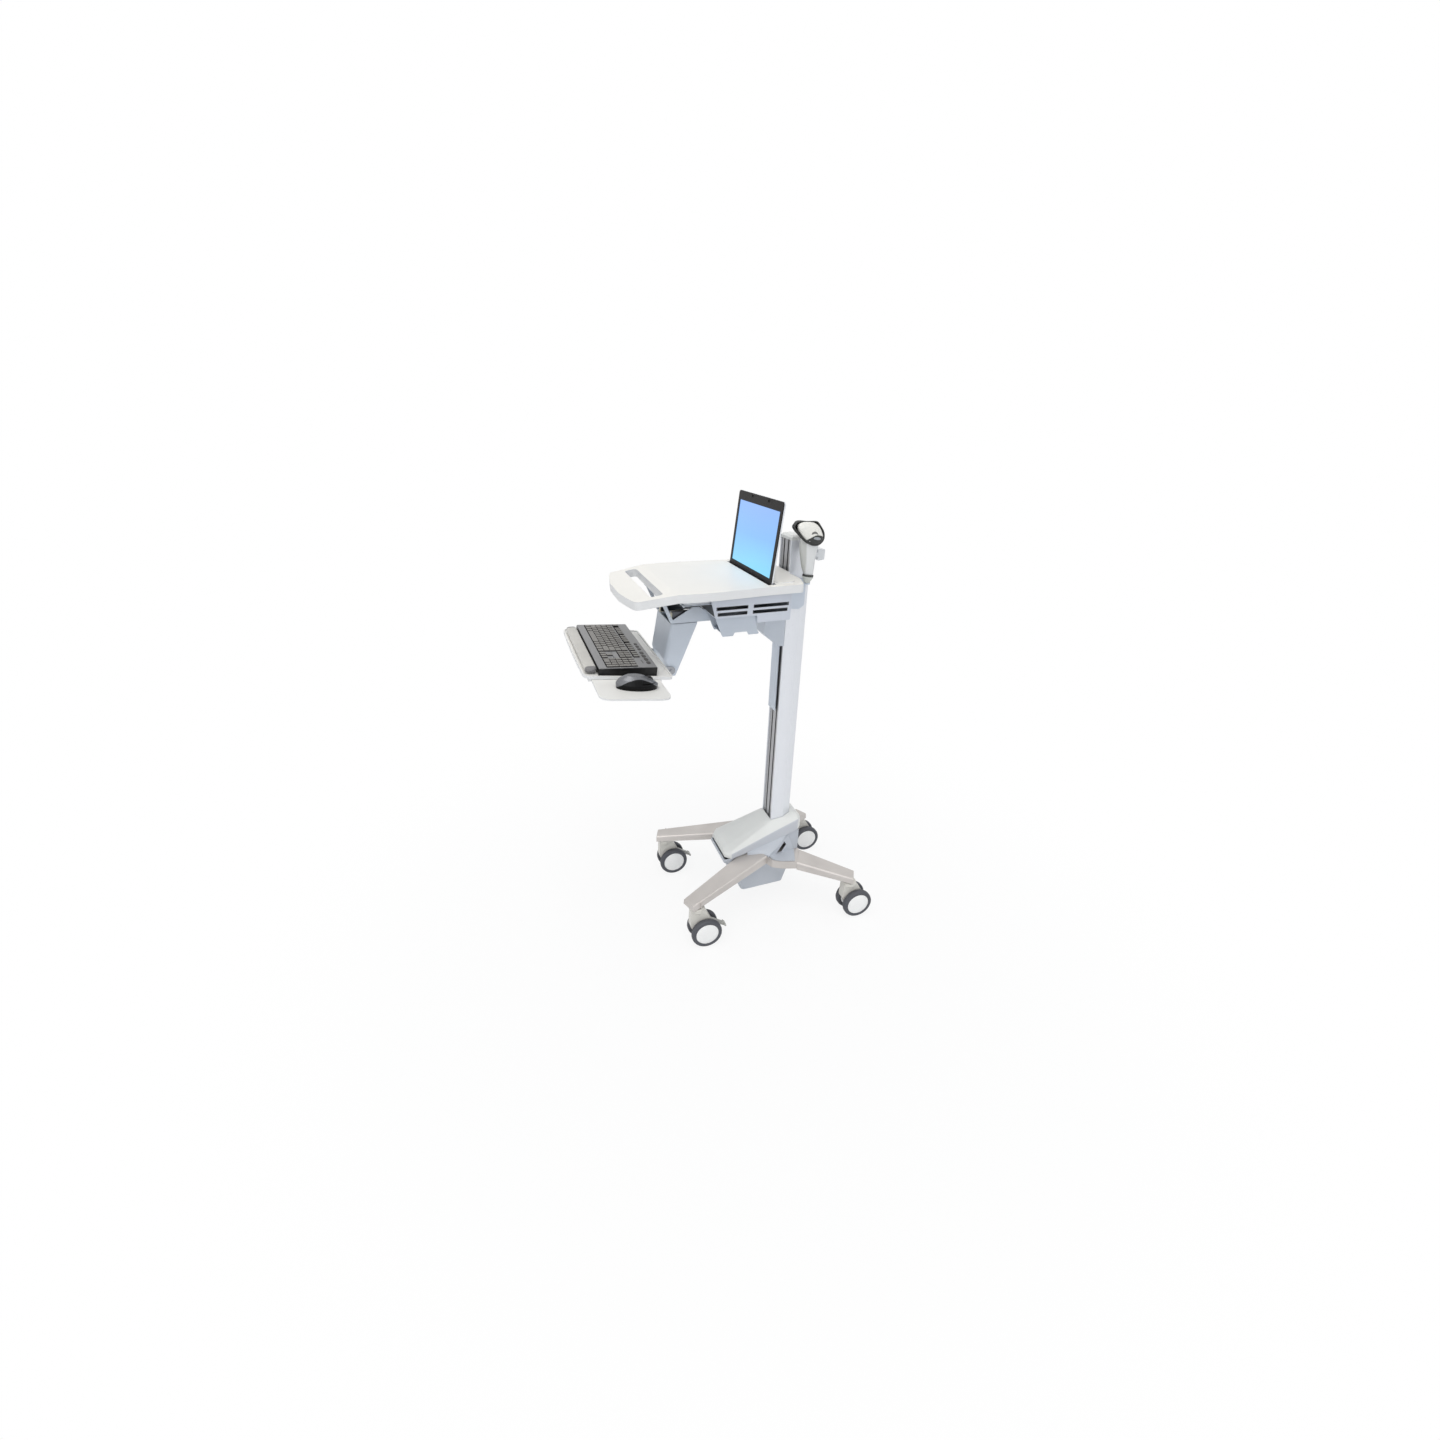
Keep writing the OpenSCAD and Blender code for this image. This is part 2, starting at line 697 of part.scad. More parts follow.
// Both wheel centres and their axle, turned as one piece
module wheel_hubs() color(white) {
    inside = wheel_gap / 2;
    outside = caster_w / 2;
    translate([caster_trail, 0, wheel_r]) rotate([90, 0, 0]) rotate_extrude($fn = 64) polygon([
        [0, -outside - 3], [hub_r * 0.45, -outside - 2.4], [hub_r * 0.8, -outside - 0.8],
        [hub_r, -outside + 1.5], [hub_r, -inside - 1], [hub_r - 2, -inside],
        [axle_d / 2, -inside], [axle_d / 2, inside], [hub_r - 2, inside],
        [hub_r, inside + 1], [hub_r, outside - 1.5], [hub_r * 0.8, outside + 0.8],
        [hub_r * 0.45, outside + 2.4], [0, outside + 3]
    ]);
}

module tyres() color(blue_grey) {
    seat = hub_r + 0.02;
    translate([caster_trail, 0, wheel_r]) rotate([90, 0, 0]) rotate_extrude($fn = 96)
        for (side = [-1, 1]) translate([0, side * (wheel_gap + tyre_w) / 2])
            polygon([
                [seat, -tyre_w / 2 + 1], [wheel_r - 4, -tyre_w / 2], [wheel_r - 1.5, -tyre_w / 2 + 2],
                [wheel_r, -tyre_w / 2 + 6], [wheel_r, tyre_w / 2 - 6],
                [wheel_r - 1.5, tyre_w / 2 - 2], [wheel_r - 4, tyre_w / 2], [seat, tyre_w / 2 - 1]
            ]);
}

// Foot pedal of a brake: an arm between the wheels and a broad tread behind them
module brake_pedal() color(pale_grey) {
    half = pedal_w / 2;
    difference() {
        union() {
            rotate([90, 0, 0]) translate([0, 0, -half]) linear_extrude(pedal_w) polygon(rounded([
                [pedal_at[0] - 6, pedal_at[1] - 6, 5], [pedal_at[0] + 2, pedal_at[1] - 6, 3],
                [pedal_tip - 10, pedal_at[1] - 30, 6], [pedal_tip - 4, pedal_at[1] - 34, 3],
                [pedal_tip, pedal_at[1] - 28, 3], [pedal_tip - 12, pedal_at[1] - 18, 10],
                [pedal_at[0] + 12, pedal_at[1] + 6, 8], [pedal_at[0] - 6, pedal_at[1] + 6, 5]
            ]));
            rotate([90, 0, 0]) translate([0, 0, -pedal_tread / 2]) linear_extrude(pedal_tread)
                polygon(rounded([
                    [pedal_tip - 11, pedal_at[1] - 25, 2], [pedal_tip - 4, pedal_at[1] - 34, 3],
                    [pedal_tip, pedal_at[1] - 28, 3], [pedal_tip - 9, pedal_at[1] - 19, 3]
                ]));
        }
        translate([pedal_at[0], half + 1, pedal_at[1]]) rotate([90, 0, 0])
            cylinder(d = 5 + 2 * running, h = pedal_w + 2, $fn = 32);
    }
}

module front_right_caster_fork() in_frame() at_caster(front_foot) caster_fork(front_fork_top, true);
module front_left_caster_fork() in_frame()
    at_caster([-front_foot[0], front_foot[1]]) caster_fork(front_fork_top, true);
module rear_right_caster_fork() in_frame() at_caster(rear_foot) caster_fork(rear_fork_top, false);
module rear_left_caster_fork() in_frame()
    at_caster([-rear_foot[0], rear_foot[1]]) caster_fork(rear_fork_top, false);
module front_right_wheel_hubs() in_frame() at_caster(front_foot) wheel_hubs();
module front_left_wheel_hubs() in_frame() at_caster([-front_foot[0], front_foot[1]]) wheel_hubs();
module rear_right_wheel_hubs() in_frame() at_caster(rear_foot) wheel_hubs();
module rear_left_wheel_hubs() in_frame() at_caster([-rear_foot[0], rear_foot[1]]) wheel_hubs();
module front_right_tyres() in_frame() at_caster(front_foot) tyres();
module front_left_tyres() in_frame() at_caster([-front_foot[0], front_foot[1]]) tyres();
module rear_right_tyres() in_frame() at_caster(rear_foot) tyres();
module rear_left_tyres() in_frame() at_caster([-rear_foot[0], rear_foot[1]]) tyres();
module front_right_brake_pedal() in_frame() at_caster(front_foot) brake_pedal();
module front_left_brake_pedal() in_frame() at_caster([-front_foot[0], front_foot[1]]) brake_pedal();

// ---------- Lifting head ----------

// Chin-shaped carriage that runs up and down the column's front face
module carriage() in_frame() color(mid_grey) {
    half = column_w / 2;
    profile([
        [-face_gap, carriage_low, 1], [-20, carriage_low + 3, 6], [-45, carriage_low + 22, 8],
        [carriage_front, carriage_low + 46, 4], [carriage_front, carriage_low + 88, 3],
        [encl_back - 2, carriage_low + 90, 2], [encl_back - 2, bay_z, 0], [encl_back, bay_z, 0],
        [encl_back, rim_z, 0], [-face_gap, rim_z, 0]
    ], -half, half);
}

// Long plate under the carriage that hides the lift strap in the left slot
module carriage_cover() in_frame() color(mid_grey) {
    slab([[-column_w / 2, -face_gap - cover_wall, 2], [slot_pitch - 1, -face_gap - cover_wall, 1],
          [slot_pitch - 1, -face_gap, 0], [-column_w / 2, -face_gap, 0]], cover_panel_low, carriage_low);
}

// Plastic T-blocks that hold the carriage in the column's slots
module glide_block(side, low, high) {
    neck = slot_w / 2 - 0.15;
    wing = slot_w / 2 + 4 - 0.3;
    back = face_recess + column_wall;
    translate([side * slot_pitch, 0, low]) linear_extrude(high - low) polygon([
        [-neck, -face_gap], [neck, -face_gap], [neck, back + 0.5], [wing, back + 0.5],
        [wing, back + 6.5], [-wing, back + 6.5], [-wing, back + 0.5], [-neck, back + 0.5]
    ]);
}

module glide_blocks() in_frame() color(cream) {
    for (side = [-1, 1], low = [carriage_low + 10, rim_z - 72]) glide_block(side, low, low + 60);
    glide_block(-1, cover_panel_low + 8, cover_panel_low + 58);
}

// Right half of the worksurface's outline, front to rear, moved in from the sides
function work_half(inset) = [
    [60, -work_reach + 1, 200], [120, -work_reach + 10, 120], [work_half_w - 45, -work_reach + 18, 50],
    [work_half_w - 22 - inset, -work_reach + 25, 26], [work_half_w - 17 - inset, -480, 50],
    [work_half_w - 5 - inset, -400, 100], [work_half_w - inset, -340, 150],
    [work_half_w - 2 - inset, -277, 200], [work_half_w - 8 - inset, -209, 200],
    [work_half_w - 15 - inset, -134, 150], [work_half_w - 18 - inset, -24, 16], [120, -3, 60],
    [48, -4, 10]
];

// Raised pad between the lid slot and the column, with a small label-free tab
module rear_deck() {
    intersection() {
        slab([[-deck_w, deck_y, 6], [deck_w, deck_y, 6], [deck_w + 4, -42, 12],
              [48, -7, 6], [-48, -7, 6], [-deck_w - 4, -42, 12]], work_z, work_z + deck_h);
        profile([[deck_y, work_z, 0], [0, work_z, 0], [0, work_z + deck_h, 0], [-40, work_z + deck_h, 60],
                 [deck_y, work_z + 1, 0]], -deck_w - 5, deck_w + 5);
    }
    block([-56, -44, work_z + deck_h - 1], [-46, -31, work_z + deck_h + 3]);
    slab([[-62, -51, 4], [-40, -51, 4], [-40, -24, 4], [-62, -24, 4]],
         work_z + deck_h + 2, work_z + deck_h + 8);
}

// Moulded worksurface: flat at the back, its front handle slopes down
module worksurface() in_frame() color(cream) difference() {
    union() {
        intersection() {
            slab(both_halves(work_half(0)), rim_z - 40, work_z + 1);
            profile([
                [0, rim_z, 0], [0, work_z, 0], [bend_y, work_z, 0],
                [-work_reach - 1, work_z - nose_drop, 0],
                [-work_reach - 1, rim_z - nose_drop, 0], [bend_y, rim_z, 0]
            ], -work_half_w - 1, work_half_w + 1);
        }
        rear_deck();
    }
    // Hand slot
    translate([0, grip_y, rim_z - 40]) linear_extrude(80) polygon(rounded(box_pts(grip_len, grip_w, 12)));
    // Underside pocket that takes the laptop enclosure
    intersection() {
        slab(both_halves(work_half(work_wall)), rim_z - 1, pocket_z);
        block([-work_half_w, bend_y + 3, rim_z - 2], [work_half_w, pocket_back, work_z]);
    }
    // Slot the laptop's lid stands through
    block([-lid_slot_w, slot_front, pocket_z - 1], [lid_slot_w, slot_back, work_z + 1]);
}

// Side outline of the laptop enclosure, inset by a wall
function encl_side(inset) = [
    [encl_back - inset, bay_z + inset, 4], [encl_back - inset, encl_top, 0],
    [encl_front + inset, encl_top, 0], [encl_front + 15 + inset, encl_z + inset, 3],
    [bay_front + inset, encl_z + inset, 2], [bay_front + inset, bay_z + inset, 3]
];

// Box under the worksurface that holds the laptop's base on a shelf
module enclosure() in_frame() color(pale_grey) {
    outer = encl_half_w - panel_t;
    inner = outer - panel_t;
    difference() {
        union() {
            profile(encl_side(0), -outer, outer);
            block([-outer, encl_front, encl_top - 1], [outer, encl_back, pocket_z]);
        }
        profile(encl_side(panel_t), -inner, inner);
        block([-inner, encl_front + panel_t, encl_top - 10], [inner, encl_back - panel_t, work_z]);
        // The laptop's front edge comes out over the front wall
        block([-shelf_w, encl_front - 1, laptop_shelf - panel_t], [shelf_w, encl_front + 12, work_z]);
        // Openings behind the vent panels
        for (part = [[encl_front + 20, -185], [-175, encl_back - 10]])
            block([-encl_half_w, part[0], encl_z + 6], [encl_half_w, part[1], laptop_shelf - 5]);
    }
    // Shelf for the laptop's base
    block([-inner, encl_front + panel_t, laptop_shelf - panel_t],
          [inner, encl_back - panel_t, laptop_shelf]);
    block([-shelf_w, shelf_front, laptop_shelf - panel_t], [shelf_w, encl_front + 4, laptop_shelf]);
}

// Side panel with four long vent slots
module vent_panel() difference() {
    profile(encl_side(0), encl_half_w - panel_t, encl_half_w);
    for (slot = [[-285, -191, vent_z], [-172, -65, vent_z],
                 [-281, -193, vent_z - vent_pitch], [-174, -68, vent_z - vent_pitch]])
        profile([
            [slot[0], slot[2] - vent_h / 2, 3], [slot[1], slot[2] - vent_h / 2, 3],
            [slot[1], slot[2] + vent_h / 2, 3], [slot[0], slot[2] + vent_h / 2, 3]
        ], encl_half_w - panel_t - 1, encl_half_w + 1);
}

module right_vent_panel() in_frame() color(pale_grey) vent_panel();
module left_vent_panel() in_frame() color(pale_grey) mirror_x() vent_panel();

// Folded sheet bracket under the enclosure, for a power brick
module accessory_bracket() in_frame() color(mid_grey) {
    notch_z = bracket_z + 10;
    side = [
        [encl_front + 16, encl_z, 0], [-268, notch_z, 3], [-263, bracket_z, 3], [-231, bracket_z, 3],
        [-226, notch_z, 3], [-188, notch_z, 3], [-183, bracket_z, 3], [-149, bracket_z, 3],
        [-157, notch_z + 4, 6], [-164, encl_z, 0]
    ];
    profile(side, encl_half_w - 7, encl_half_w - 5);
    profile(side, bracket_x, bracket_x + 2);
    block([bracket_x, -266, notch_z], [encl_half_w - 5, -160, notch_z + 2]);
}

// Steel frame between the worksurface's nose and the enclosure that carries the slide rails
module slide_frame() in_frame() color(pale_grey) {
    for (side = [0, 1]) mirror([side, 0, 0]) profile([
        [rail_front - 7, rail_z, 3], [-433, strap_z, 0], [-420, strap_z + 13 * nose_slope, 0],
        [rail_front - 1, rail_z + 10, 4], [-325, encl_z + 11, 5], [-305, encl_z + 11, 4],
        [encl_front + 14, encl_z, 0], [rail_back, encl_z, 0], [rail_back, rail_z, 2]
    ], arm_half_w - 3, arm_half_w);
    block([-arm_half_w + 2, encl_front + 16, encl_z - 2], [arm_half_w - 2, rail_back, encl_z]);
    profile([[-433, strap_z, 0], [-433, strap_z - 8, 0], [-421, strap_z - 6, 0],
             [-421, strap_z + 12 * nose_slope, 0]], -arm_half_w + 2, arm_half_w - 2);
}

// Two inverted channels fixed under the slide frame
module outer_rails() in_frame() color(steel) {
    out = rail_w / 2;
    for (side = [-1, 1]) front_profile([
        [side * rail_x - out, rail_z, 0], [side * rail_x - out, encl_z - 2, 0],
        [side * rail_x + out, encl_z - 2, 0], [side * rail_x + out, rail_z, 0],
        [side * rail_x + out - 2, rail_z, 0], [side * rail_x + out - 2, encl_z - 4, 0],
        [side * rail_x - out + 2, encl_z - 4, 0], [side * rail_x - out + 2, rail_z, 0]
    ], rail_front, rail_back);
}

// Laptop's base half, with the knuckles its lid turns on
module laptop_base() in_frame() color(dark) {
    half = laptop_w / 2;
    difference() {
        union() {
            slab([[-half, laptop_front, 8], [half, laptop_front, 8], [half, lid_y + 6, 4],
                  [-half, lid_y + 6, 4]], laptop_shelf, lid_z);
            for (x = hinge_x) translate([x, lid_y, lid_z]) rotate([0, 90, 0])
                cylinder(r = hinge_r, h = hinge_w + 14, center = true, $fn = 48);
        }
        for (x = hinge_x) block([x - hinge_w / 2 - 0.4, lid_y - 8, lid_z - hinge_r - 1.5],
                                [x + hinge_w / 2 + 0.4, lid_y + 8, lid_z + 8]);
    }
    for (x = hinge_x) translate([x, lid_y, lid_z]) rotate([0, 90, 0])
        cylinder(r = 2, h = hinge_w + 8, center = true, $fn = 32);
}

// Bracket beside the column, under the worksurface, that carries the scanner's holder
module holder_bracket() in_frame() color(pale_grey) {
    foot_z = scanner_at[2] - funnel_h + 6.8;
    inner = column_w / 2 + 3;
    low = rim_z - 86;
    profile([
        [-40, rim_z, 0], [-40, low, 6], [40, low - 9, 6], [56, low + 3, 6], [56, foot_z - 4, 4],
        [44, foot_z, 4], [2, foot_z, 3], [-4.5, rim_z - 12, 3], [-4.5, rim_z, 0]
    ], inner, inner + 4);
    slab([[inner, scanner_at[1] - 9, 0], [scanner_at[0] + 8, scanner_at[1] - 9, 8],
          [scanner_at[0] + 8, scanner_at[1] + 9, 8], [inner, scanner_at[1] + 9, 0]],
         foot_z - 5, foot_z);
}

// Places the scanner's and its holder's pieces: z runs up the leaning handle
module at_scanner() {
    translate(scanner_at) rotate([scanner_tilt, 0, 0]) children();
}

// Funnel under the scanner with a low rim that steadies its foot
module scanner_holder() in_frame() color(pale_grey) at_scanner() rotate_extrude($fn = 64)
    polygon([
        [0, -funnel_h + 8], [9, -funnel_h + 8], [cup_r - 1, -3], [cup_r + 1, 0], [cup_r + 1, cup_h],
        [cup_r, cup_h], [cup_r, 0], [0, 0]
    ]);

// ---------- Keyboard arm ----------

// Bars that run inside the rails, bolted on the arm
module slide_shoes() in_frame() color(cream) {
    half = rail_w / 2 - 2.3;
    for (side = [-1, 1]) block([side * rail_x - half, rail_front - 3, arm_top],
                               [side * rail_x + half, rail_front + 69, encl_z - 4.4]);
}

// The arm's form: broad at the rails, narrowing to the tilt pin
module arm_form(inset) {
    half = arm_half_w - inset;
    hull() {
        for (level = [[arm_top - 4, arm_top + (inset > 0 ? 1 : 0), -391, -308, 6],
                      [tray_z - 2, tray_z, -412, -352, 14],
                      [arm_low + inset, arm_low + inset + 3, -399, -375, 6]])
            slab([[-half, level[2] + inset, level[4]], [half, level[2] + inset, level[4]],
                  [half, level[3] - inset, 5], [-half, level[3] - inset, 5]], level[0], level[1]);
    }
}

module keyboard_arm() in_frame() color(pale_grey) {
    difference() {
        arm_form(0);
        arm_form(work_wall);
        translate([0, pivot_y, pivot_z]) rotate([0, 90, 0])
            cylinder(r = pin_r + running, h = 2 * arm_half_w + 2, center = true, $fn = 48);
    }
    // Top flanges that take the slide shoes
    for (side = [-1, 1]) block([side * rail_x - 14, -388, arm_top - 4], [side * rail_x + 14, -311, arm_top]);
}

module tilt_pin() in_frame() color(steel) translate([0, pivot_y, pivot_z]) rotate([0, 90, 0]) {
    cylinder(r = pin_r, h = 2 * tray_bracket_x + 8, center = true, $fn = 48);
    // Washers between the arm and the tray's bracket
    for (side = [-1, 1]) translate([0, 0, side * (arm_half_w + 1)])
        cylinder(r = pin_r + 3, h = 1.8, center = true, $fn = 48);
}

// ---------- Keyboard tray ----------

// Places the tray's pieces: y = 0, z = 0 is the top of its rear edge
module in_tray() {
    translate([0, tray_rear_y, tray_z]) rotate([-tray_slope, 0, 0]) children();
}

// Tray with a shallow recess, and guides underneath for the mouse tray
module keyboard_tray() in_frame() color(white) in_tray() {
    outline = [
        [-tray_half_w, 0, 14], [-tray_half_w, -tray_d + 4, 26], [-tray_half_w / 2, -tray_d + 1, 300],
        [0, -tray_d, 300], [tray_half_w / 2, -tray_d + 1, 300], [tray_half_w, -tray_d + 4, 26],
        [tray_half_w, 0, 14]
    ];
    difference() {
        slab(outline, -tray_t, 0);
        slab(box_pts_at(tray_half_w - 6, -tray_d + 8, -5, 12), -tray_recess, 1);
    }
    front = mouse_tray_y[0];
    rear = mouse_tray_y[1];
    low = mouse_tray_z - 3;
    profile([[front - 7, low, 0], [front + 5, low, 0], [front + 5, mouse_tray_z - 0.4, 0],
             [front - 0.5, mouse_tray_z - 0.4, 0], [front - 0.5, -tray_t, 0], [front - 7, -tray_t, 0]],
            guide_x, tray_half_w - 6);
    profile([[rear + 7, low, 0], [rear - 5, low, 0], [rear - 5, mouse_tray_z - 0.4, 0],
             [rear + 0.5, mouse_tray_z - 0.4, 0], [rear + 0.5, -tray_t, 0], [rear + 7, -tray_t, 0]],
            guide_x, tray_half_w - 6);
}

// Yoke that hangs the tray on the tilt pin
module tray_bracket() in_frame() color(steel) in_tray() {
    y = pivot_in_tray[0];
    z = pivot_in_tray[1];
    for (side = [0, 1]) mirror([side, 0, 0]) difference() {
        profile([
            [y + 13, z + 13, 12], [y + 13, z - 13, 12], [y - 16, z - 13, 10], [-110, -tray_t - 12, 5],
            [-118, -tray_t, 0], [-6, -tray_t, 0], [y - 13, z + 13, 10]
        ], tray_bracket_x - 3, tray_bracket_x);
        translate([0, y, z]) rotate([0, 90, 0]) cylinder(r = pin_r + running, h = 300, $fn = 48);
    }
    block([-tray_bracket_x + 2, -112, -tray_t - 2.5], [tray_bracket_x - 2, -8, -tray_t]);
}

module palm_rest() in_frame() color(mid_grey) in_tray() {
    profile([[-250, -tray_recess, 0], [-217, -tray_recess, 0], [-217, 14, 6], [-226, 18, 10],
             [-242, 15, 10], [-250, 4, 8]], -palm_half_w, palm_half_w);
}

// Places pieces in the plane of the keyboard's sloping top
module on_keyboard() {
    in_tray() translate([0, keyboard_y, keyboard_front_h]) rotate([key_slope, 0, 0]) children();
}

// Start of the i-th key in a row of widths; negative widths are gaps
function row_start(widths, i) = i == 0 ? 0 : abs(widths[i - 1]) + row_start(widths, i - 1);

// One key block's row: keys of the given widths, in key units, from the left edge x
module key_row(x, y, widths, depth) {
    for (i = [0 : len(widths) - 1]) if (widths[i] > 0) {
        left = x + row_start(widths, i) * key_pitch + key_gap;
        right = left + widths[i] * key_pitch - 2 * key_gap;
        front_profile([[left, key_low, 0], [right, key_low, 0], [right - 1.8, key_top, 1],
                       [left + 1.8, key_top, 1]], y + key_gap, y + depth * key_pitch - key_gap);
    }
}

module keyboard_case() in_frame() color(mid_grey) difference() {
    in_tray() profile([
        [keyboard_y, -tray_recess, 0], [keyboard_y + keyboard_d, -tray_recess, 0],
        [keyboard_y + keyboard_d, keyboard_rear_h, 4], [keyboard_y, keyboard_front_h, 4]
    ], -keyboard_w / 2, keyboard_w / 2);
    on_keyboard() {
        // Cavity for the key membrane
        block([key_left - 3, key_y - 3, key_low - 5], [-key_left + 3, key_y + 6.3 * key_pitch + 3, -3]);
        // Windows round the key blocks
        block([key_left - 1, key_y - 1, -4], [key_left + 15 * key_pitch + 1, key_y + 5 * key_pitch + 1, 2]);
        block([key_left - 1, key_y + 5.3 * key_pitch - 1, -4],
              [key_left + 15 * key_pitch + 1, key_y + 6.3 * key_pitch + 1, 2]);
        block([nav_x - 1, key_y - 1, -4], [nav_x + 3 * key_pitch + 1, key_y + 2 * key_pitch + 1, 2]);
        block([nav_x - 1, key_y + 3 * key_pitch - 1, -4],
              [nav_x + 3 * key_pitch + 1, key_y + 5 * key_pitch + 1, 2]);
        block([nav_x - 1, key_y + 5.3 * key_pitch - 1, -4],
              [nav_x + 3 * key_pitch + 1, key_y + 6.3 * key_pitch + 1, 2]);
        block([pad_x - 1, key_y - 1, -4], [pad_x + 4 * key_pitch + 1, key_y + 5 * key_pitch + 1, 2]);
    }
}

// Every key but the space bar, on one membrane
module keycaps() in_frame() color(pale_grey) on_keyboard() {
    main_rows = [
        [1.25, 1.25, 1.25, -6.25, 1.25, 1.25, 1.25, 1.25],
        [2.25, 1, 1, 1, 1, 1, 1, 1, 1, 1, 1, 2.75],
        [1.75, 1, 1, 1, 1, 1, 1, 1, 1, 1, 1, 1, 2.25],
        [1.5, 1, 1, 1, 1, 1, 1, 1, 1, 1, 1, 1, 1, 1.5],
        [1, 1, 1, 1, 1, 1, 1, 1, 1, 1, 1, 1, 1, 2]
    ];
    nav_rows = [[1, 1, 1], [-1, 1, -1], [-3], [1, 1, 1], [1, 1, 1]];
    pad_rows = [[2, 1, -1], [1, 1, 1, -1], [1, 1, 1, -1], [1, 1, 1, -1], [1, 1, 1, 1]];
    for (i = [0 : 4]) {
        key_row(key_left, key_y + i * key_pitch, main_rows[i], 1);
        key_row(nav_x, key_y + i * key_pitch, nav_rows[i], 1);
        key_row(pad_x, key_y + i * key_pitch, pad_rows[i], 1);
    }
    for (row = [0, 2]) key_row(pad_x + 3 * key_pitch, key_y + row * key_pitch, [1], 2);
    key_row(key_left, key_y + 5.3 * key_pitch,
            [1, -1, 1, 1, 1, 1, -0.5, 1, 1, 1, 1, -0.5, 1, 1, 1, 1], 1);
    key_row(nav_x, key_y + 5.3 * key_pitch, [1, 1, 1], 1);
    difference() {
        block([key_left - 2, key_y - 2, key_low - 1],
              [-key_left + 2, key_y + 6.3 * key_pitch + 2, key_low]);
        block([space_x - 0.5, key_y - 3, key_low - 2],
              [space_x + 6.25 * key_pitch + 0.5, key_y + key_pitch, key_low + 1]);
    }
}

module space_bar() in_frame() color(pale_grey) on_keyboard()
    key_row(space_x, key_y, [6.25], 1);

// ---------- Mouse ----------

module mouse_tray() in_frame() color(white) in_tray()
    slab([[mouse_tray_x0, mouse_tray_y[0], 2], [right_x, mouse_tray_y[0], 28],
          [right_x, mouse_tray_y[1], 30], [mouse_tray_x0, mouse_tray_y[1], 2]],
         mouse_tray_z, mouse_tray_z + mouse_tray_t);

// Places the mouse's pieces: z = 0 is its base, +Y its front end
module at_mouse() {
    in_tray() translate([mouse_x, mouse_y, mouse_tray_z + mouse_tray_t]) children();
}

module mouse_form() {
    hull() {
        for (level = [[0, 2, 0.92, 0.97, 0], [12, 14, 1, 1, 0], [mouse_h - 10, mouse_h - 9, 0.82, 0.76, -5],
                      [mouse_h - 1, mouse_h, 0.42, 0.42, -9]])
            translate([0, level[4], level[0]]) linear_extrude(level[1] - level[0])
                polygon(oval(level[2] * mouse_w / 2, level[3] * mouse_len / 2, 32));
    }
}

// Case of the mouse, cut away in front for the two buttons and the wheel
module mouse_body() in_frame() color(dark) at_mouse() difference() {
    mouse_form();
    for (side = [-1, 1]) translate([side * 50, 50 + button_y - 0.5, 50 + button_z - 2])
        cube([100 - 2 * button_x + 0.8, 100, 100], center = true);
    block([-4, wheel_y - 13, 9], [4, wheel_y + 13, mouse_h + 4]);
    translate([0, wheel_y, wheel_z]) rotate([0, 90, 0])
        cylinder(r = 1.5 + running, h = 10.4, center = true, $fn = 32);
}

module mouse_button(side) at_mouse() intersection() {
    mouse_form();
    translate([side * 50, 50 + button_y, 50 + button_z]) cube([100 - 2 * button_x, 100, 100], center = true);
}

module mouse_left_button() in_frame() color(satin) mouse_button(-1);
module mouse_right_button() in_frame() color(satin) mouse_button(1);

// Scroll wheel on two stub axles
module mouse_wheel() in_frame() color(dark) at_mouse()
    translate([0, wheel_y, wheel_z]) rotate([0, 90, 0]) {
        cylinder(r = 11, h = 7, center = true, $fn = 48);
        cylinder(r = 1.5, h = 10, center = true, $fn = 32);
    }

// ---------- Laptop lid ----------

// Places the lid's pieces: z runs up the lid from its hinge, -Y is the screen side
module at_lid() {
    translate([0, lid_y, lid_z]) rotate([-lid_lean, 0, 0]) children();
}

module lid_shell() in_frame() color(dark) at_lid() {
    half = laptop_w / 2;
    front_profile([[-half, lid_foot, 4], [half, lid_foot, 4], [half, laptop_d, 9],
                   [-half, laptop_d, 9]], -0.5, lid_t / 2);
    for (x = hinge_x) difference() {
        union() {
            rotate([0, 90, 0]) translate([0, 0, x - hinge_w / 2]) cylinder(r = hinge_r, h = hinge_w, $fn = 48);
            block([x - hinge_w / 2, -0.5, 0], [x + hinge_w / 2, lid_t / 2, lid_foot + 1]);
        }
        rotate([0, 90, 0]) translate([0, 0, x - hinge_w / 2 - 1])
            cylinder(r = 2 + running, h = hinge_w + 2, $fn = 32);
    }
}

// Frame round the screen, with the two latch hooks on its top bar
module lid_bezel() in_frame() color(dark) at_lid() {
    half = laptop_w / 2;
    difference() {
        front_profile([[-half, lid_foot, 4], [half, lid_foot, 4], [half, laptop_d, 9],
                       [-half, laptop_d, 9]], -lid_t / 2, -0.5);
        front_profile([[-screen_half_w, screen_low, 0], [screen_half_w, screen_low, 0],
                       [screen_half_w, screen_top, 0], [-screen_half_w, screen_top, 0]], -lid_t, 1);
    }
    for (x = [-60, 60]) block([x - 6, -lid_t / 2 - 2.5, laptop_d - 11],
                              [x + 6, -lid_t / 2, laptop_d - 5]);
}

module screen() in_frame() color([0.55, 0.72, 1]) at_lid()
    block([-screen_half_w + part_gap, -lid_t / 2 + 1.2, screen_low + part_gap],
          [screen_half_w - part_gap, -0.5, screen_top - part_gap]);

// ---------- Scanner ----------

// Places the scanner's head: z points out of its domed back, x downwards
module at_head() {
    translate(scanner_at) rotate([scanner_tilt, 0, 0]) translate(head_at)
        rotate([-scanner_tilt, 0, 0]) rotate([0, head_pitch, head_turn]) children();
}

// An oval layer of the head, scaled from its outline
module head_layer(z0, z1, a, b) {
    translate([0, 0, z0]) linear_extrude(z1 - z0) polygon(oval(a, b, 32));
}

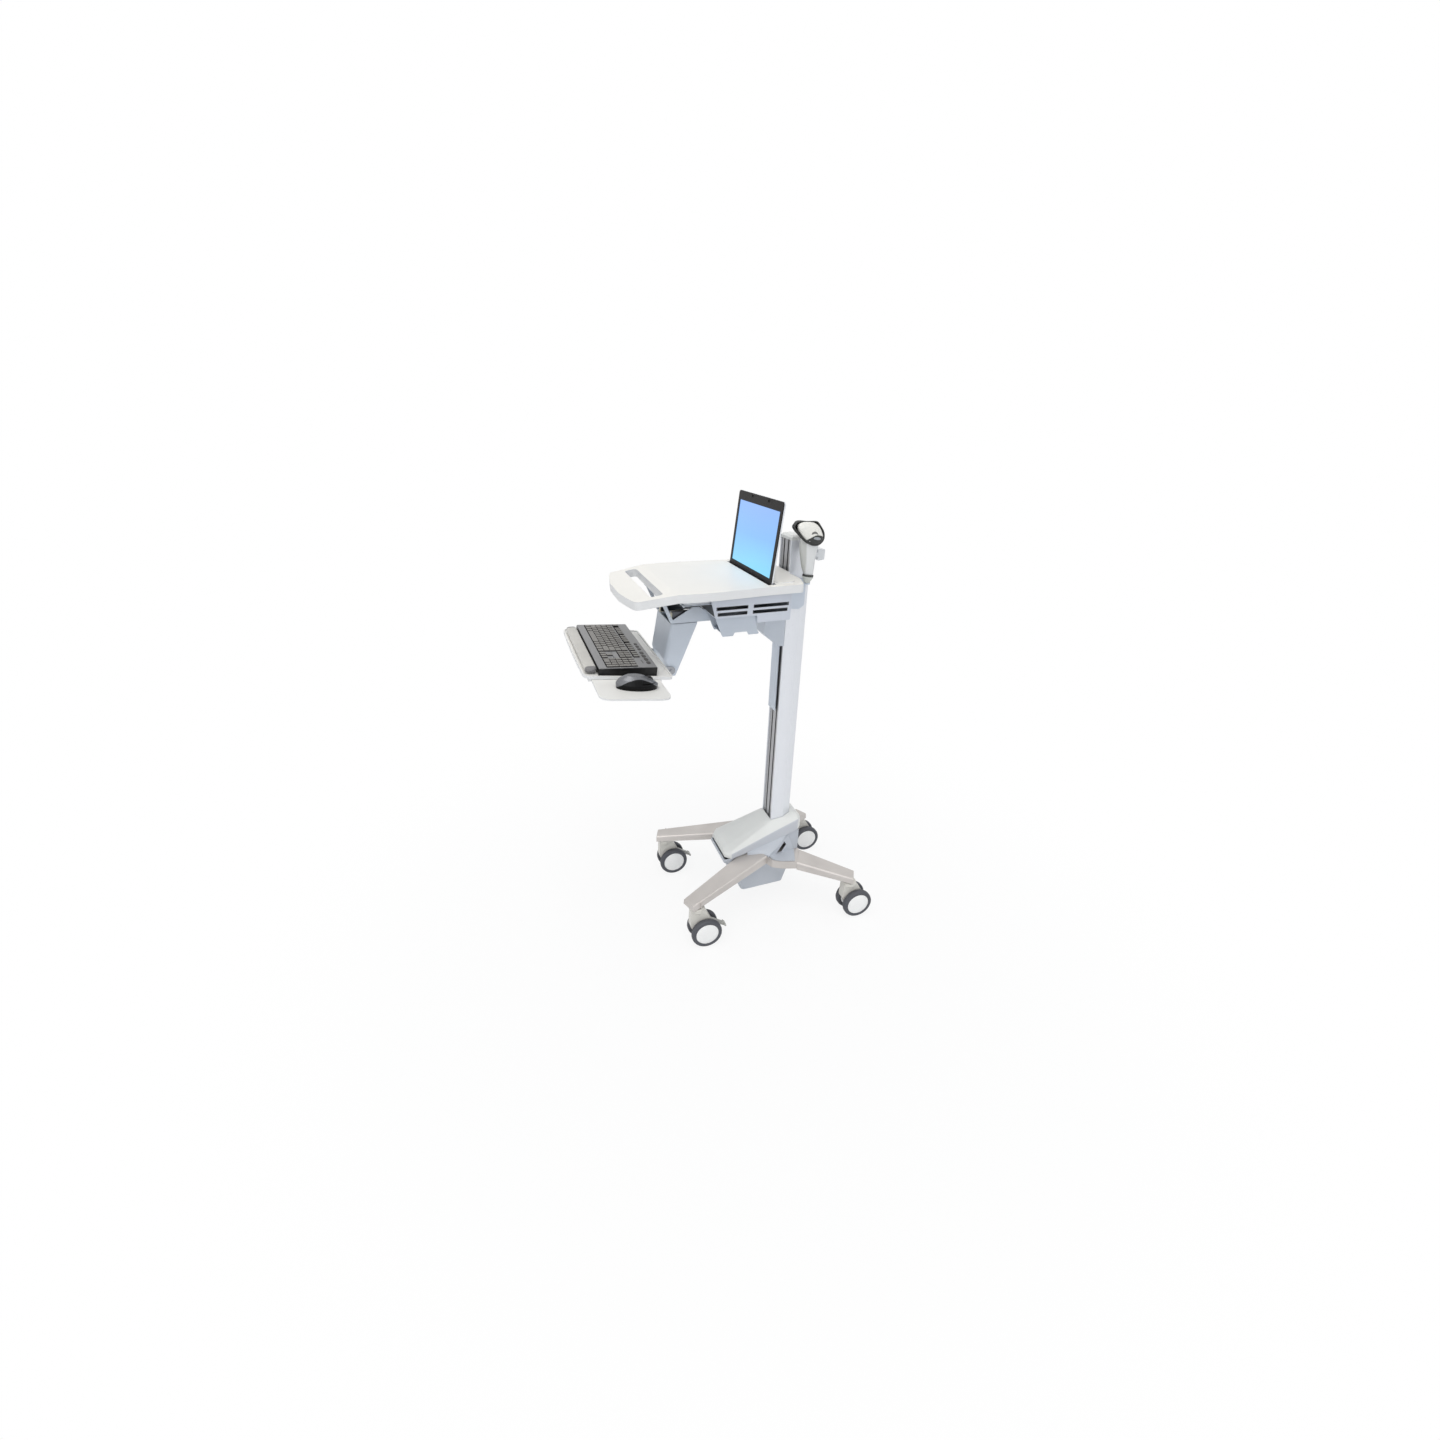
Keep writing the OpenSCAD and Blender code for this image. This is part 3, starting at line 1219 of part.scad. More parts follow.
// Handle and domed head in one moulding
module scanner_body() in_frame() color(cream) difference() {
    union() {
        at_scanner() hull() {
            translate([0, 0, foot_h]) cylinder(d = handle_d - 3, h = 1, $fn = 32);
            translate([0, 0, handle_len + 6]) linear_extrude(1) polygon(oval(17, 16, 32));
        }
        hull() {
            at_scanner() translate([0, 0, handle_len + 4]) linear_extrude(1) polygon(oval(17, 16, 32));
            at_head() head_layer(-12, 2, 30, 28);
        }
        at_head() hull() {
            head_layer(-16, -15, 34, 34);
            head_layer(0, 2, 35, 35);
            head_layer(10, 11, 26, 27);
            head_layer(15, 16, 12, 14);
        }
        at_head() head_layer(-24, -14, neck_oval[0], neck_oval[1]);
    }
    // Window opening in front and a pocket for the trigger
    at_head() head_layer(-30, -20, 18, 26);
    at_scanner() {
        trigger_form(0.4);
        translate([2.5, 0, 0]) trigger_form(0.4);
    }
}

// Rubber parts: the hood round the window and the ring the scanner stands on
module scanner_bumper() in_frame() color(dark) {
    at_head() difference() {
        hull() {
            head_layer(-16.3, -16.2, neck_oval[0] + 3, neck_oval[1] + 2);
            head_layer(-22, -20, neck_oval[0] + 5, neck_oval[1] + 4);
            rotate([0, 0, hood_roll]) head_layer(-38, -36, 28, 43);
        }
        head_layer(-24.2, -10, neck_oval[0] + 0.2, neck_oval[1] + 0.2);
        hull() {
            head_layer(-25, -23, 20, 28);
            rotate([0, 0, hood_roll]) head_layer(-40, -38, 23, 38);
        }
    }
    at_scanner() cylinder(r = cup_r - 0.5, h = foot_h, $fn = 64);
}

// Finger trigger on the window side of the handle, grown by a clearance
module trigger_form(grow) {
    outline = [[-trigger_x - 4, trigger_z - 30 - grow, 3],
               [-trigger_x + 4 + grow, trigger_z - 30 - grow, 1],
               [-trigger_x + 4 + grow, trigger_z + grow, 1], [-trigger_x - 7, trigger_z + grow, 2]];
    translate([0, trigger_w / 2 + grow, 0]) rotate([90, 0, 0]) linear_extrude(trigger_w + 2 * grow)
        polygon(rounded(outline));
}

module scanner_trigger() in_frame() color(dark) at_scanner() trigger_form(0);

base_hub();
front_right_leg();
front_left_leg();
rear_right_leg();
rear_left_leg();
base_housing();
weight_pan();
base_cover();
column();
column_cap();
cord_hook();
lift_cassette();
leg_bolts();
front_right_caster_fork();
front_left_caster_fork();
rear_right_caster_fork();
rear_left_caster_fork();
front_right_wheel_hubs();
front_left_wheel_hubs();
rear_right_wheel_hubs();
rear_left_wheel_hubs();
front_right_tyres();
front_left_tyres();
rear_right_tyres();
rear_left_tyres();
front_right_brake_pedal();
front_left_brake_pedal();
carriage();
carriage_cover();
glide_blocks();
worksurface();
enclosure();
right_vent_panel();
left_vent_panel();
accessory_bracket();
slide_frame();
outer_rails();
laptop_base();
scanner_holder();
holder_bracket();
slide_shoes();
keyboard_arm();
tilt_pin();
keyboard_tray();
tray_bracket();
palm_rest();
keyboard_case();
keycaps();
space_bar();
mouse_tray();
mouse_body();
mouse_left_button();
mouse_right_button();
mouse_wheel();
lid_shell();
lid_bezel();
screen();
scanner_body();
scanner_bumper();
scanner_trigger();
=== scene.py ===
"""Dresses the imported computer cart: materials, small details, studio light and camera."""
import json
import math

import bmesh
import bpy
from mathutils import Matrix, Vector


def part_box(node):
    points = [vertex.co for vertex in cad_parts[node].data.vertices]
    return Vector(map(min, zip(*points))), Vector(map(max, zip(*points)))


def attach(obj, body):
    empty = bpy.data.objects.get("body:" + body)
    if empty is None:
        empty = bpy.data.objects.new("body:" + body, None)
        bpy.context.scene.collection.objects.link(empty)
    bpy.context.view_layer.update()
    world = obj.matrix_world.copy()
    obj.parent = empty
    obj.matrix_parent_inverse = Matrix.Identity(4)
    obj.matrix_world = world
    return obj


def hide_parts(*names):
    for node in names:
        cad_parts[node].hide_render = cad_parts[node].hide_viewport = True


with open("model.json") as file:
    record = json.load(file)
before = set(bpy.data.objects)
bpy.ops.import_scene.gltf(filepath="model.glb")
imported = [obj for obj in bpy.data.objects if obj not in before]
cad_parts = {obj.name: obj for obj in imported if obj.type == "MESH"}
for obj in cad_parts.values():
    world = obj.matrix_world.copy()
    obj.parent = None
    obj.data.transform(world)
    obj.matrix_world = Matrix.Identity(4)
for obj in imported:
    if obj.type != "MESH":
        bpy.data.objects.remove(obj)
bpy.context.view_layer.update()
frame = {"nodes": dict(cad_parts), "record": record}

MM = 0.001
# Places below are in mm, measured from the column's axis and front face, which lie here in the row
# frame: x to the cart's right, y to its back, z up
COLUMN_X, COLUMN_Y = -60.5, 179.156
# Column: depth of its recessed front face, half the face's width, and its slots' middles and depth
RECESS_DEPTH, RECESS_HALF = 3.5, 33.0
SLOT_PITCH, SLOT_DEPTH = 14.0, 14.0
# A height between the base cover and the column's cap, which is of the same plastic
COVER_TOP = 400.0
# Vent slots: front end, back end and height of the middle, and half the height of each
VENT_SLOTS = ((-285, -191, 1188), (-172, -65, 1188), (-281, -193, 1171), (-174, -68, 1171))
VENT_HALF = 4.0
# Inside of the laptop's enclosure that shows through the vent slots, painted near black as its shade
INSIDE_LOW, INSIDE_HIGH = 1163.0, 1201.0
# Keyboard tray: y and z of its rear edge, and its slope
TRAY_REAR = (-424.0, 1013.0)
TRAY_SLOPE = math.radians(6.6)
# Keyboard deck: y of its front edge in the tray's frame, its height there and its rise to the rear
DECK_FRONT, DECK_LOW = -214.0, 18.0
DECK_RISE, DECK_RUN = 7.0, 168.0
KEY_PITCH = 17.8
# Place on the deck of the plate left of the upper arrow key
FILLER_X, FILLER_Y = 80.10, -163.30
# Half of the palm rest's soft stretch, between its firm end blocks
PALM_HALF = 183.0
# Scanner handle: the height under which its head shades it, and y of the shaded front half's edge
SHADE_TOP, SHADE_EDGE = 1351.0, 16.0
# Mouse: y of its middle, height there of the silver crown's edge, and the edge's fall per m squared
MOUSE_MIDDLE, CROWN_EDGE, CROWN_FALL = -551.0, 1048.0, 8.0


def at(x, y, z):
    """A point given in mm from the column's front face, in metres in the row frame."""
    return Vector(((x + COLUMN_X) * MM, (y + COLUMN_Y) * MM, z * MM))


def placed(x, y, z, turn):
    """The 4x4 matrix of a local frame in metres, turned, at a point given as in at()."""
    return Matrix.Translation(at(x, y, z)) @ turn.to_4x4()


def deck_height(y):
    """Height in mm of the keyboard's deck over the tray's plane, y mm along the tray's frame."""
    return DECK_LOW + (y - DECK_FRONT) * DECK_RISE / DECK_RUN


# ---------- Materials ----------


def linear(colour):
    """Linear RGBA of a colour written in sRGB from 0 to 1."""
    return [c / 12.92 if c <= 0.04045 else ((c + 0.055) / 1.055) ** 2.4 for c in colour] + [1.0]


class Nodes:
    """A material under construction. add returns the new node, the other methods its output."""

    def __init__(self, name):
        self.material = bpy.data.materials.new(name)
        self.material.use_nodes = True
        self.tree = self.material.node_tree
        self.shader = self.tree.nodes["Principled BSDF"]
        self.place = self.add("ShaderNodeTexCoord").outputs["Object"]

    def add(self, kind, inputs=(), **settings):
        node = self.tree.nodes.new(kind)
        for key, value in settings.items():
            setattr(node, key, value)
        for key, value in dict(inputs).items():
            socket = node.inputs[key]
            if isinstance(value, bpy.types.NodeSocket):
                self.tree.links.new(value, socket)
            else:
                socket.default_value = value
        return node

    def noise(self, scale, detail=3.0, stretch=(1, 1, 1), rough=0.5):
        mapped = self.add("ShaderNodeMapping", {"Vector": self.place, "Scale": stretch}).outputs[0]
        return self.add("ShaderNodeTexNoise", {
            "Vector": mapped, "Scale": scale, "Detail": detail, "Roughness": rough}).outputs["Fac"]

    def math(self, kind, a, b=0.0, c=0.0, clamp=False):
        return self.add("ShaderNodeMath", {0: a, 1: b, 2: c}, operation=kind, use_clamp=clamp).outputs[0]

    def span(self, value, low, high, to_low, to_high):
        return self.add("ShaderNodeMapRange", {
            "Value": value, "From Min": low, "From Max": high,
            "To Min": to_low, "To Max": to_high}).outputs[0]

    def mix(self, factor, a, b):
        return self.add("ShaderNodeMix", {"Factor": factor, 6: a, 7: b}, data_type="RGBA").outputs[2]

    def axis(self, name):
        return self.add("ShaderNodeSeparateXYZ", {0: self.place}).outputs[name]


def surface(name, colour, rough, metal=0.0, grain=0.8, bump=0.12, tint=0.02, wear=0.06,
            edge=0.6, stretch=(1, 1, 1), spec=0.5, sheen=0.0, paint=None):
    """A moulded, painted or metal finish. grain and edge are in mm; paint(nodes, colour) returns
    a colour socket that changes the base one by place on the object or by which way a face points."""
    n = Nodes(name)
    base = linear(colour)
    broad = n.noise(9.0, 2.0, stretch)
    dark = [c * (1 - tint) for c in base[:3]] + [1]
    light = [min(1.0, c * (1 + tint)) for c in base[:3]] + [1]
    shade = n.mix(n.span(broad, 0.35, 0.65, 0, 1), dark, light)
    if paint:
        shade = paint(n, shade)
    # Rounded edges, and slight wear where the rounded normal leaves the true one
    soft = n.add("ShaderNodeBevel", {"Radius": edge * MM}, samples=4).outputs[0]
    if wear:
        wide = n.add("ShaderNodeBevel", {"Radius": 2.5 * edge * MM}, samples=4).outputs[0]
        true = n.add("ShaderNodeNewGeometry").outputs["Normal"]
        agree = n.add("ShaderNodeVectorMath", {0: wide, 1: true}, operation="DOT_PRODUCT").outputs["Value"]
        spots = n.span(n.noise(60.0, 4.0), 0.4, 0.7, 0.2, 1.0)
        rub = n.math("MULTIPLY", n.span(agree, 0.98, 0.75, 0, wear), spots)
        worn = [min(1.0, c * 1.25 + 0.03) for c in base[:3]] + [1]
        shade = n.mix(rub, shade, worn)
    fine = n.noise(1000.0 / grain, 3.0, stretch, 0.6)
    rise = n.add("ShaderNodeBump", {
        "Strength": bump, "Distance": 0.1 * MM, "Height": fine, "Normal": soft}).outputs[0]
    n.tree.links.new(shade, n.shader.inputs["Base Color"])
    n.tree.links.new(n.span(fine, 0.3, 0.7, rough - 0.05, rough + 0.05), n.shader.inputs["Roughness"])
    n.tree.links.new(rise, n.shader.inputs["Normal"])
    for key, value in (("Metallic", metal), ("Specular IOR Level", spec), ("Sheen Weight", sheen)):
        n.shader.inputs[key].default_value = value
    return n.material


def tray_height(n):
    """Socket of the height in metres above the sloping keyboard tray's plane, and of the way in
    along it from the tray's rear edge."""
    rear = at(0, *TRAY_REAR)
    y, z = n.math("SUBTRACT", n.axis("Y"), rear.y), n.math("SUBTRACT", n.axis("Z"), rear.z)
    c, s = math.cos(TRAY_SLOPE), math.sin(TRAY_SLOPE)
    up = n.math("MULTIPLY_ADD", y, s, n.math("MULTIPLY", z, c))
    along = n.math("MULTIPLY_ADD", y, c, n.math("MULTIPLY", z, -s))
    return up, along


def above_deck(n):
    """Socket of the height in metres above the keyboard's sloping deck."""
    up, along = tray_height(n)
    deck = n.math("MULTIPLY_ADD", along, DECK_RISE / DECK_RUN, deck_height(0) * MM)
    return n.math("SUBTRACT", up, deck)


def keyboard_paint(n, shade):
    """Black sides and key pockets under a silver-grey deck."""
    below = n.span(above_deck(n), -2.2 * MM, -1.2 * MM, 1, 0)
    return n.mix(below, shade, linear((0.06, 0.06, 0.065)))


def facing(n, axis):
    """Socket of how far a face points along an axis either way, from 0 to 1."""
    normal = n.add("ShaderNodeTexCoord").outputs["Normal"]
    return n.math("ABSOLUTE", n.add("ShaderNodeSeparateXYZ", {0: normal}).outputs[axis])


def column_painted_shade(n, shade):
    """Painted shade: the depth of the two slots near black, and the recessed front face round them duller.
    The grooves are painted dark on that face as their shadow, wider than the slots are cut."""
    face = at(0, RECESS_DEPTH, 0)
    off = n.math("ABSOLUTE", n.math("SUBTRACT", n.axis("X"), face.x))
    deep = n.math("SUBTRACT", n.axis("Y"), face.y)
    ahead = n.span(deep, (SLOT_DEPTH - 0.5) * MM, (SLOT_DEPTH + 0.5) * MM, 1, 0)
    # Behind the face, out to 12 mm past the slots' middles
    inside = n.span(off, (SLOT_PITCH + 12) * MM, (SLOT_PITCH + 14) * MM, 1, 0)
    behind = n.span(deep, 0.3 * MM, 1.5 * MM, 0, 1)
    slot_shade = n.math("MULTIPLY", inside, n.math("MULTIPLY", behind, ahead))
    # The face itself, and what lies behind it
    within = n.span(off, (RECESS_HALF - 0.4) * MM, RECESS_HALF * MM, 1, 0)
    recess = n.math("MULTIPLY", within, n.span(deep, -1 * MM, -0.4 * MM, 0, 1))
    recess = n.math("MULTIPLY", recess, ahead)
    groove_shadow = n.math("ABSOLUTE", n.math("SUBTRACT", off, SLOT_PITCH * MM))
    groove_shadow = n.math("MULTIPLY", recess, n.span(groove_shadow, 4.4 * MM, 5.2 * MM, 1, 0))
    # Painted shade on the recessed face, painted shadow in the grooves, and near black deep in the slots
    shade = n.mix(recess, shade, linear((0.66, 0.66, 0.67)))
    shade = n.mix(groove_shadow, shade, linear((0.40, 0.40, 0.41)))
    return n.mix(slot_shade, shade, linear((0.14, 0.14, 0.15)))


def cover_painted_shade(n, shade):
    """Painted shade: blue grey on the base cover's upright flanks, which are lit less than its top, as on
    the housing below it.
    """
    low = n.span(n.axis("Z"), COVER_TOP * MM, (COVER_TOP + 1) * MM, 1, 0)
    flank = n.span(facing(n, "X"), 0.72, 0.9, 0, 0.8)
    return n.mix(n.math("MULTIPLY", low, flank), shade, linear((0.75, 0.765, 0.80)))


def enclosure_painted_shade(n, shade):
    """Painted shade: the inside of the laptop's enclosure, seen through the vent slots, near black."""
    low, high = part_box("enclosure")
    middle = (low + high) / 2
    half = (high - low) / 2
    off = n.math("ABSOLUTE", n.math("SUBTRACT", n.axis("X"), middle.x))
    shade_mask = n.span(off, half.x - 2.9 * MM, half.x - 2.2 * MM, 1, 0)
    for name, start, end in (("Y", low.y + 4 * MM, high.y - 4 * MM),
                             ("Z", INSIDE_LOW * MM, INSIDE_HIGH * MM)):
        inside = n.math("MULTIPLY", n.span(n.axis(name), start, start + 0.5 * MM, 0, 1),
                        n.span(n.axis(name), end - 0.5 * MM, end, 1, 0))
        shade_mask = n.math("MULTIPLY", shade_mask, inside)
    return n.mix(shade_mask, shade, linear((0.03, 0.03, 0.035)))


def key_highlight_paint(n, shade):
    """Black membrane and lower flanks of the keys, up to 2 mm over the deck; the grey above it is a
    painted highlight on the black keys' tops.
    """
    below = n.span(above_deck(n), 1.6 * MM, 2.2 * MM, 1, 0)
    return n.mix(below, shade, linear((0.09, 0.085, 0.085)))


def palm_paint(n, shade):
    """Firm grey end blocks of the palm rest."""
    off = n.math("ABSOLUTE", n.math("SUBTRACT", n.axis("X"), COLUMN_X * MM))
    end = n.span(off, (PALM_HALF - 0.5) * MM, (PALM_HALF + 0.5) * MM, 0, 1)
    return n.mix(end, shade, linear((0.46, 0.455, 0.46)))


def rim_painted_shade(n, shade):
    """Painted shade: a cooler grey on the upright rims of the white panels, which are lit less than their
    tops.
    """
    upright = n.span(facing(n, "Z"), 0.3, 0.75, 1, 0)
    return n.mix(upright, shade, linear((0.895, 0.898, 0.90)))


def vent_painted_shade(n, shade):
    """Painted shade: the slots through the vent panels near black, with the painted shadow running about a
    millimetre past the edges that are cut, out to the panels' outer faces."""
    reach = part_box("right_vent_panel")[1].x - COLUMN_X * MM
    off = n.math("ABSOLUTE", n.math("SUBTRACT", n.axis("X"), COLUMN_X * MM))
    shade_mask = 0.0
    for front, back, height in VENT_SLOTS:
        along = n.math("ABSOLUTE", n.math("SUBTRACT", n.axis("Y"), at(0, (front + back) / 2, 0).y))
        up = n.math("ABSOLUTE", n.math("SUBTRACT", n.axis("Z"), height * MM))
        half = (back - front) / 2
        inside = n.math("MULTIPLY", n.span(along, (half + 0.8) * MM, (half + 1.4) * MM, 1, 0),
                        n.span(up, (VENT_HALF + 0.8) * MM, (VENT_HALF + 1.4) * MM, 1, 0))
        shade_mask = n.math("MAXIMUM", shade_mask, inside)
    # Only in the outer 4 mm of the panels
    outer = n.span(off, reach - 4 * MM, reach - 3.9 * MM, 0, 1)
    return n.mix(n.math("MULTIPLY", shade_mask, outer), shade, linear((0.03, 0.03, 0.035)))


def scanner_painted_shade(n, shade):
    """Painted shade: the handle grey under the head, which shades it, and darker on its half towards the
    cart's front.
    """
    head_shade = n.span(n.axis("Z"), SHADE_TOP * MM, (SHADE_TOP + 5) * MM, 1, 0)
    front = n.span(n.axis("Y"), at(0, SHADE_EDGE, 0).y, at(0, SHADE_EDGE + 5, 0).y, 1, 0)
    shade = n.mix(head_shade, shade, linear((0.86, 0.865, 0.865)))
    return n.mix(n.math("MULTIPLY", head_shade, front), shade, linear((0.735, 0.74, 0.725)))


def mouse_paint(n, shade):
    """Silver crown over black flanks, which are highest at the mouse's middle."""
    uneven = n.span(n.noise(40.0, 1.0), 0, 1, -0.5 * MM, 0.5 * MM)
    height = n.math("ADD", n.axis("Z"), uneven)
    away = n.math("ABSOLUTE", n.math("SUBTRACT", n.axis("Y"), at(0, MOUSE_MIDDLE, 0).y))
    edge = n.math("MULTIPLY_ADD", n.math("MULTIPLY", away, away), -CROWN_FALL, CROWN_EDGE * MM)
    flank = n.span(n.math("SUBTRACT", height, edge), -0.6 * MM, 0.6 * MM, 1, 0)
    return n.mix(flank, shade, linear((0.025, 0.025, 0.03)))


WARM_WHITE = (0.955, 0.945, 0.92)
COOL_WHITE = (0.80, 0.83, 0.87)
LOOKS = {
    "base_metal": dict(colour=(0.785, 0.765, 0.75), rough=0.36, metal=0.6, grain=0.5, bump=0.22,
                       tint=0.06, wear=0.25, edge=1.2),
    "fasteners": dict(colour=(0.62, 0.63, 0.65), rough=0.3, metal=1.0, grain=0.3, edge=0.3),
    "base_plastic": dict(colour=(0.76, 0.78, 0.81), rough=0.42, edge=1.0),
    "cover_plastic": dict(colour=(0.89, 0.895, 0.885), rough=0.38, edge=1.2, paint=cover_painted_shade),
    "column_aluminium": dict(colour=(0.89, 0.90, 0.92), rough=0.32, metal=0.5, grain=0.4, bump=0.1,
                             stretch=(1, 1, 0.015), tint=0.03, edge=0.5, paint=column_painted_shade),
    "spring_steel": dict(colour=(0.35, 0.36, 0.38), rough=0.35, metal=1.0, edge=0.3),
    "caster_plastic": dict(colour=(0.83, 0.82, 0.79), rough=0.3, edge=0.8),
    "tyre_rubber": dict(colour=(0.33, 0.335, 0.355), rough=0.6, grain=0.6, bump=0.2, wear=0.0,
                        tint=0.05, spec=0.3),
    "head_metal": dict(colour=COOL_WHITE, rough=0.4, grain=1.0, bump=0.16, edge=0.8, spec=0.4),
    "glide_plastic": dict(colour=(0.9, 0.88, 0.8), rough=0.4, edge=0.3),
    "worksurface_plastic": dict(colour=WARM_WHITE, rough=0.42, grain=0.7, bump=0.2, tint=0.01,
                                edge=1.2, paint=rim_painted_shade),
    "vent_plastic": dict(colour=(0.79, 0.81, 0.85), rough=0.4, edge=0.6, paint=vent_painted_shade),
    "tray_plastic": dict(colour=(0.93, 0.925, 0.91), rough=0.45, grain=0.6, bump=0.2, edge=1.0,
                         paint=rim_painted_shade),
    "keyboard_plastic": dict(colour=(0.52, 0.52, 0.525), rough=0.38, grain=0.5, bump=0.1, edge=0.5,
                             metal=0.2, paint=keyboard_paint),
    "mouse_plastic": dict(colour=(0.47, 0.475, 0.49), rough=0.3, metal=0.5, edge=0.8, spec=0.35,
                          paint=mouse_paint),
    "laptop_plastic": dict(colour=(0.88, 0.89, 0.91), rough=0.35, metal=0.15, edge=0.8),
    "bezel_plastic": dict(colour=(0.10, 0.09, 0.09), rough=0.5, edge=0.5, wear=0.02, spec=0.2),
    "scanner_plastic": dict(colour=(0.93, 0.925, 0.90), rough=0.3, edge=0.8, tint=0.01),
    "scanner_rubber": dict(colour=(0.20, 0.205, 0.20), rough=0.55, grain=0.5, bump=0.2, edge=1.0,
                           wear=0.02),
}
LOOKS_OF_NODES = {
    # Grey of the key tops: a painted highlight on black keys
    "keycaps": dict(colour=(0.50, 0.49, 0.475), rough=0.42, grain=0.5, edge=0.7, wear=0.12,
                    spec=0.3, paint=key_highlight_paint),
    "enclosure": dict(colour=COOL_WHITE, rough=0.4, grain=1.0, bump=0.16, edge=0.8, spec=0.4,
                      paint=enclosure_painted_shade),
    "accessory_bracket": dict(colour=(0.74, 0.77, 0.81), rough=0.4, grain=1.0, bump=0.16, edge=0.6),
    "carriage": dict(colour=(0.76, 0.785, 0.82), rough=0.4, grain=1.0, bump=0.16, edge=0.8),
    "scanner_shell": dict(colour=(0.93, 0.925, 0.90), rough=0.3, edge=0.8, tint=0.01,
                          paint=scanner_painted_shade),
    # Painted shade: the scanner's white-grey holder is given the greenish grey of its shade
    "scanner_holder": dict(colour=(0.78, 0.79, 0.77), rough=0.35, edge=0.8),
    "wheel_hubs": dict(colour=(0.96, 0.96, 0.955), rough=0.28, edge=0.8, tint=0.01),
    "mouse_wheel": dict(colour=(0.10, 0.10, 0.11), rough=0.6, edge=0.4),
    "cord_hook": dict(colour=(0.84, 0.85, 0.86), rough=0.4, edge=0.6),
    "brake": dict(colour=(0.70, 0.70, 0.68), rough=0.35, edge=0.5),
}
finishes = {key: surface(key, **look) for key, look in LOOKS.items()}
special = {key: surface(key + "_finish", **look) for key, look in LOOKS_OF_NODES.items()}


def lit_screen():
    """Backlit panel, a little paler towards its foot, under a smooth glassy front."""
    n = Nodes("screen_glass")
    low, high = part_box("screen")
    climb = n.span(n.axis("Z"), low.z, high.z, 0, 1)
    cloud = n.span(n.noise(4.0, 1.0), 0.3, 0.7, -0.06, 0.06)
    ramp = n.add("ShaderNodeValToRGB", {"Fac": n.math("ADD", climb, cloud, clamp=True)})
    stops = ramp.color_ramp.elements
    stops[0].color = linear((0.53, 0.86, 1.0))
    stops[1].color = linear((0.56, 0.73, 0.99))
    middle = stops.new(0.5)
    middle.color = linear((0.52, 0.75, 0.99))
    n.tree.links.new(ramp.outputs[0], n.shader.inputs["Emission Color"])
    n.shader.inputs["Emission Strength"].default_value = 0.92
    n.shader.inputs["Base Color"].default_value = (0.02, 0.03, 0.05, 1)
    n.shader.inputs["Roughness"].default_value = 0.18
    n.shader.inputs["Specular IOR Level"].default_value = 0.3
    return n.material


finishes["screen_glass"] = lit_screen()
for part in frame["record"]["subparts"]:
    node, key = part["node"], part["material_slot"]
    if key == "palm_pad":
        continue
    chosen = finishes[key]
    if node in ("keycaps", "space_bar"):
        chosen = special["keycaps"]
    elif "brake" in node:
        chosen = special["brake"]
    elif "wheel_hubs" in node:
        chosen = special["wheel_hubs"]
    elif node in special:
        chosen = special[node]
    frame["nodes"][node].material_slots[0].material = chosen

# ---------- Pieces ----------


def around(count):
    """Cosine and sine of count even steps round a circle."""
    for i in range(count):
        a = 2 * math.pi * i / count
        yield math.cos(a), math.sin(a)


def bulged(value, power):
    """A cosine or sine raised to a power with its sign kept: below 1 it squares a circle off."""
    return math.copysign(abs(value) ** power, value)


def loft(rings, first=True):
    """Vertices and faces of a skin through rings of as many points each, closed at its last ring
    and, unless first is False, at its first."""
    count = len(rings[0])
    verts = [point for ring in rings for point in ring]
    faces = []
    for i in range(len(rings) - 1):
        for j in range(count):
            k = (j + 1) % count
            faces.append((i * count + j, i * count + k, (i + 1) * count + k, (i + 1) * count + j))
    for closed, ring in ((first, 0), (True, len(rings) - 1)):
        if closed:
            verts.append(sum(rings[ring], Vector((0, 0, 0))) / count)
            for j in range(count):
                faces.append((ring * count + j, ring * count + (j + 1) % count, len(verts) - 1))
    return verts, faces


def piece(name, verts, faces, material, body, smooth=True):
    """A mesh object of the given metres, riding on a body."""
    mesh = bpy.data.meshes.new(name)
    mesh.from_pydata([tuple(v) for v in verts], [], faces)
    mesh.validate()
    made = bpy.data.objects.new(name, mesh)
    bpy.context.scene.collection.objects.link(made)
    shell = bmesh.new()
    shell.from_mesh(mesh)
    bmesh.ops.recalc_face_normals(shell, faces=shell.faces)
    shell.to_mesh(mesh)
    shell.free()
    for polygon in mesh.polygons:
        polygon.use_smooth = smooth
    mesh.materials.append(material)
    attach(made, body)
    return made


def tray_frame():
    """Local frame on the keyboard tray: y towards the column, z out of its top."""
    return placed(0, TRAY_REAR[0], TRAY_REAR[1], Matrix.Rotation(-TRAY_SLOPE, 3, "X"))


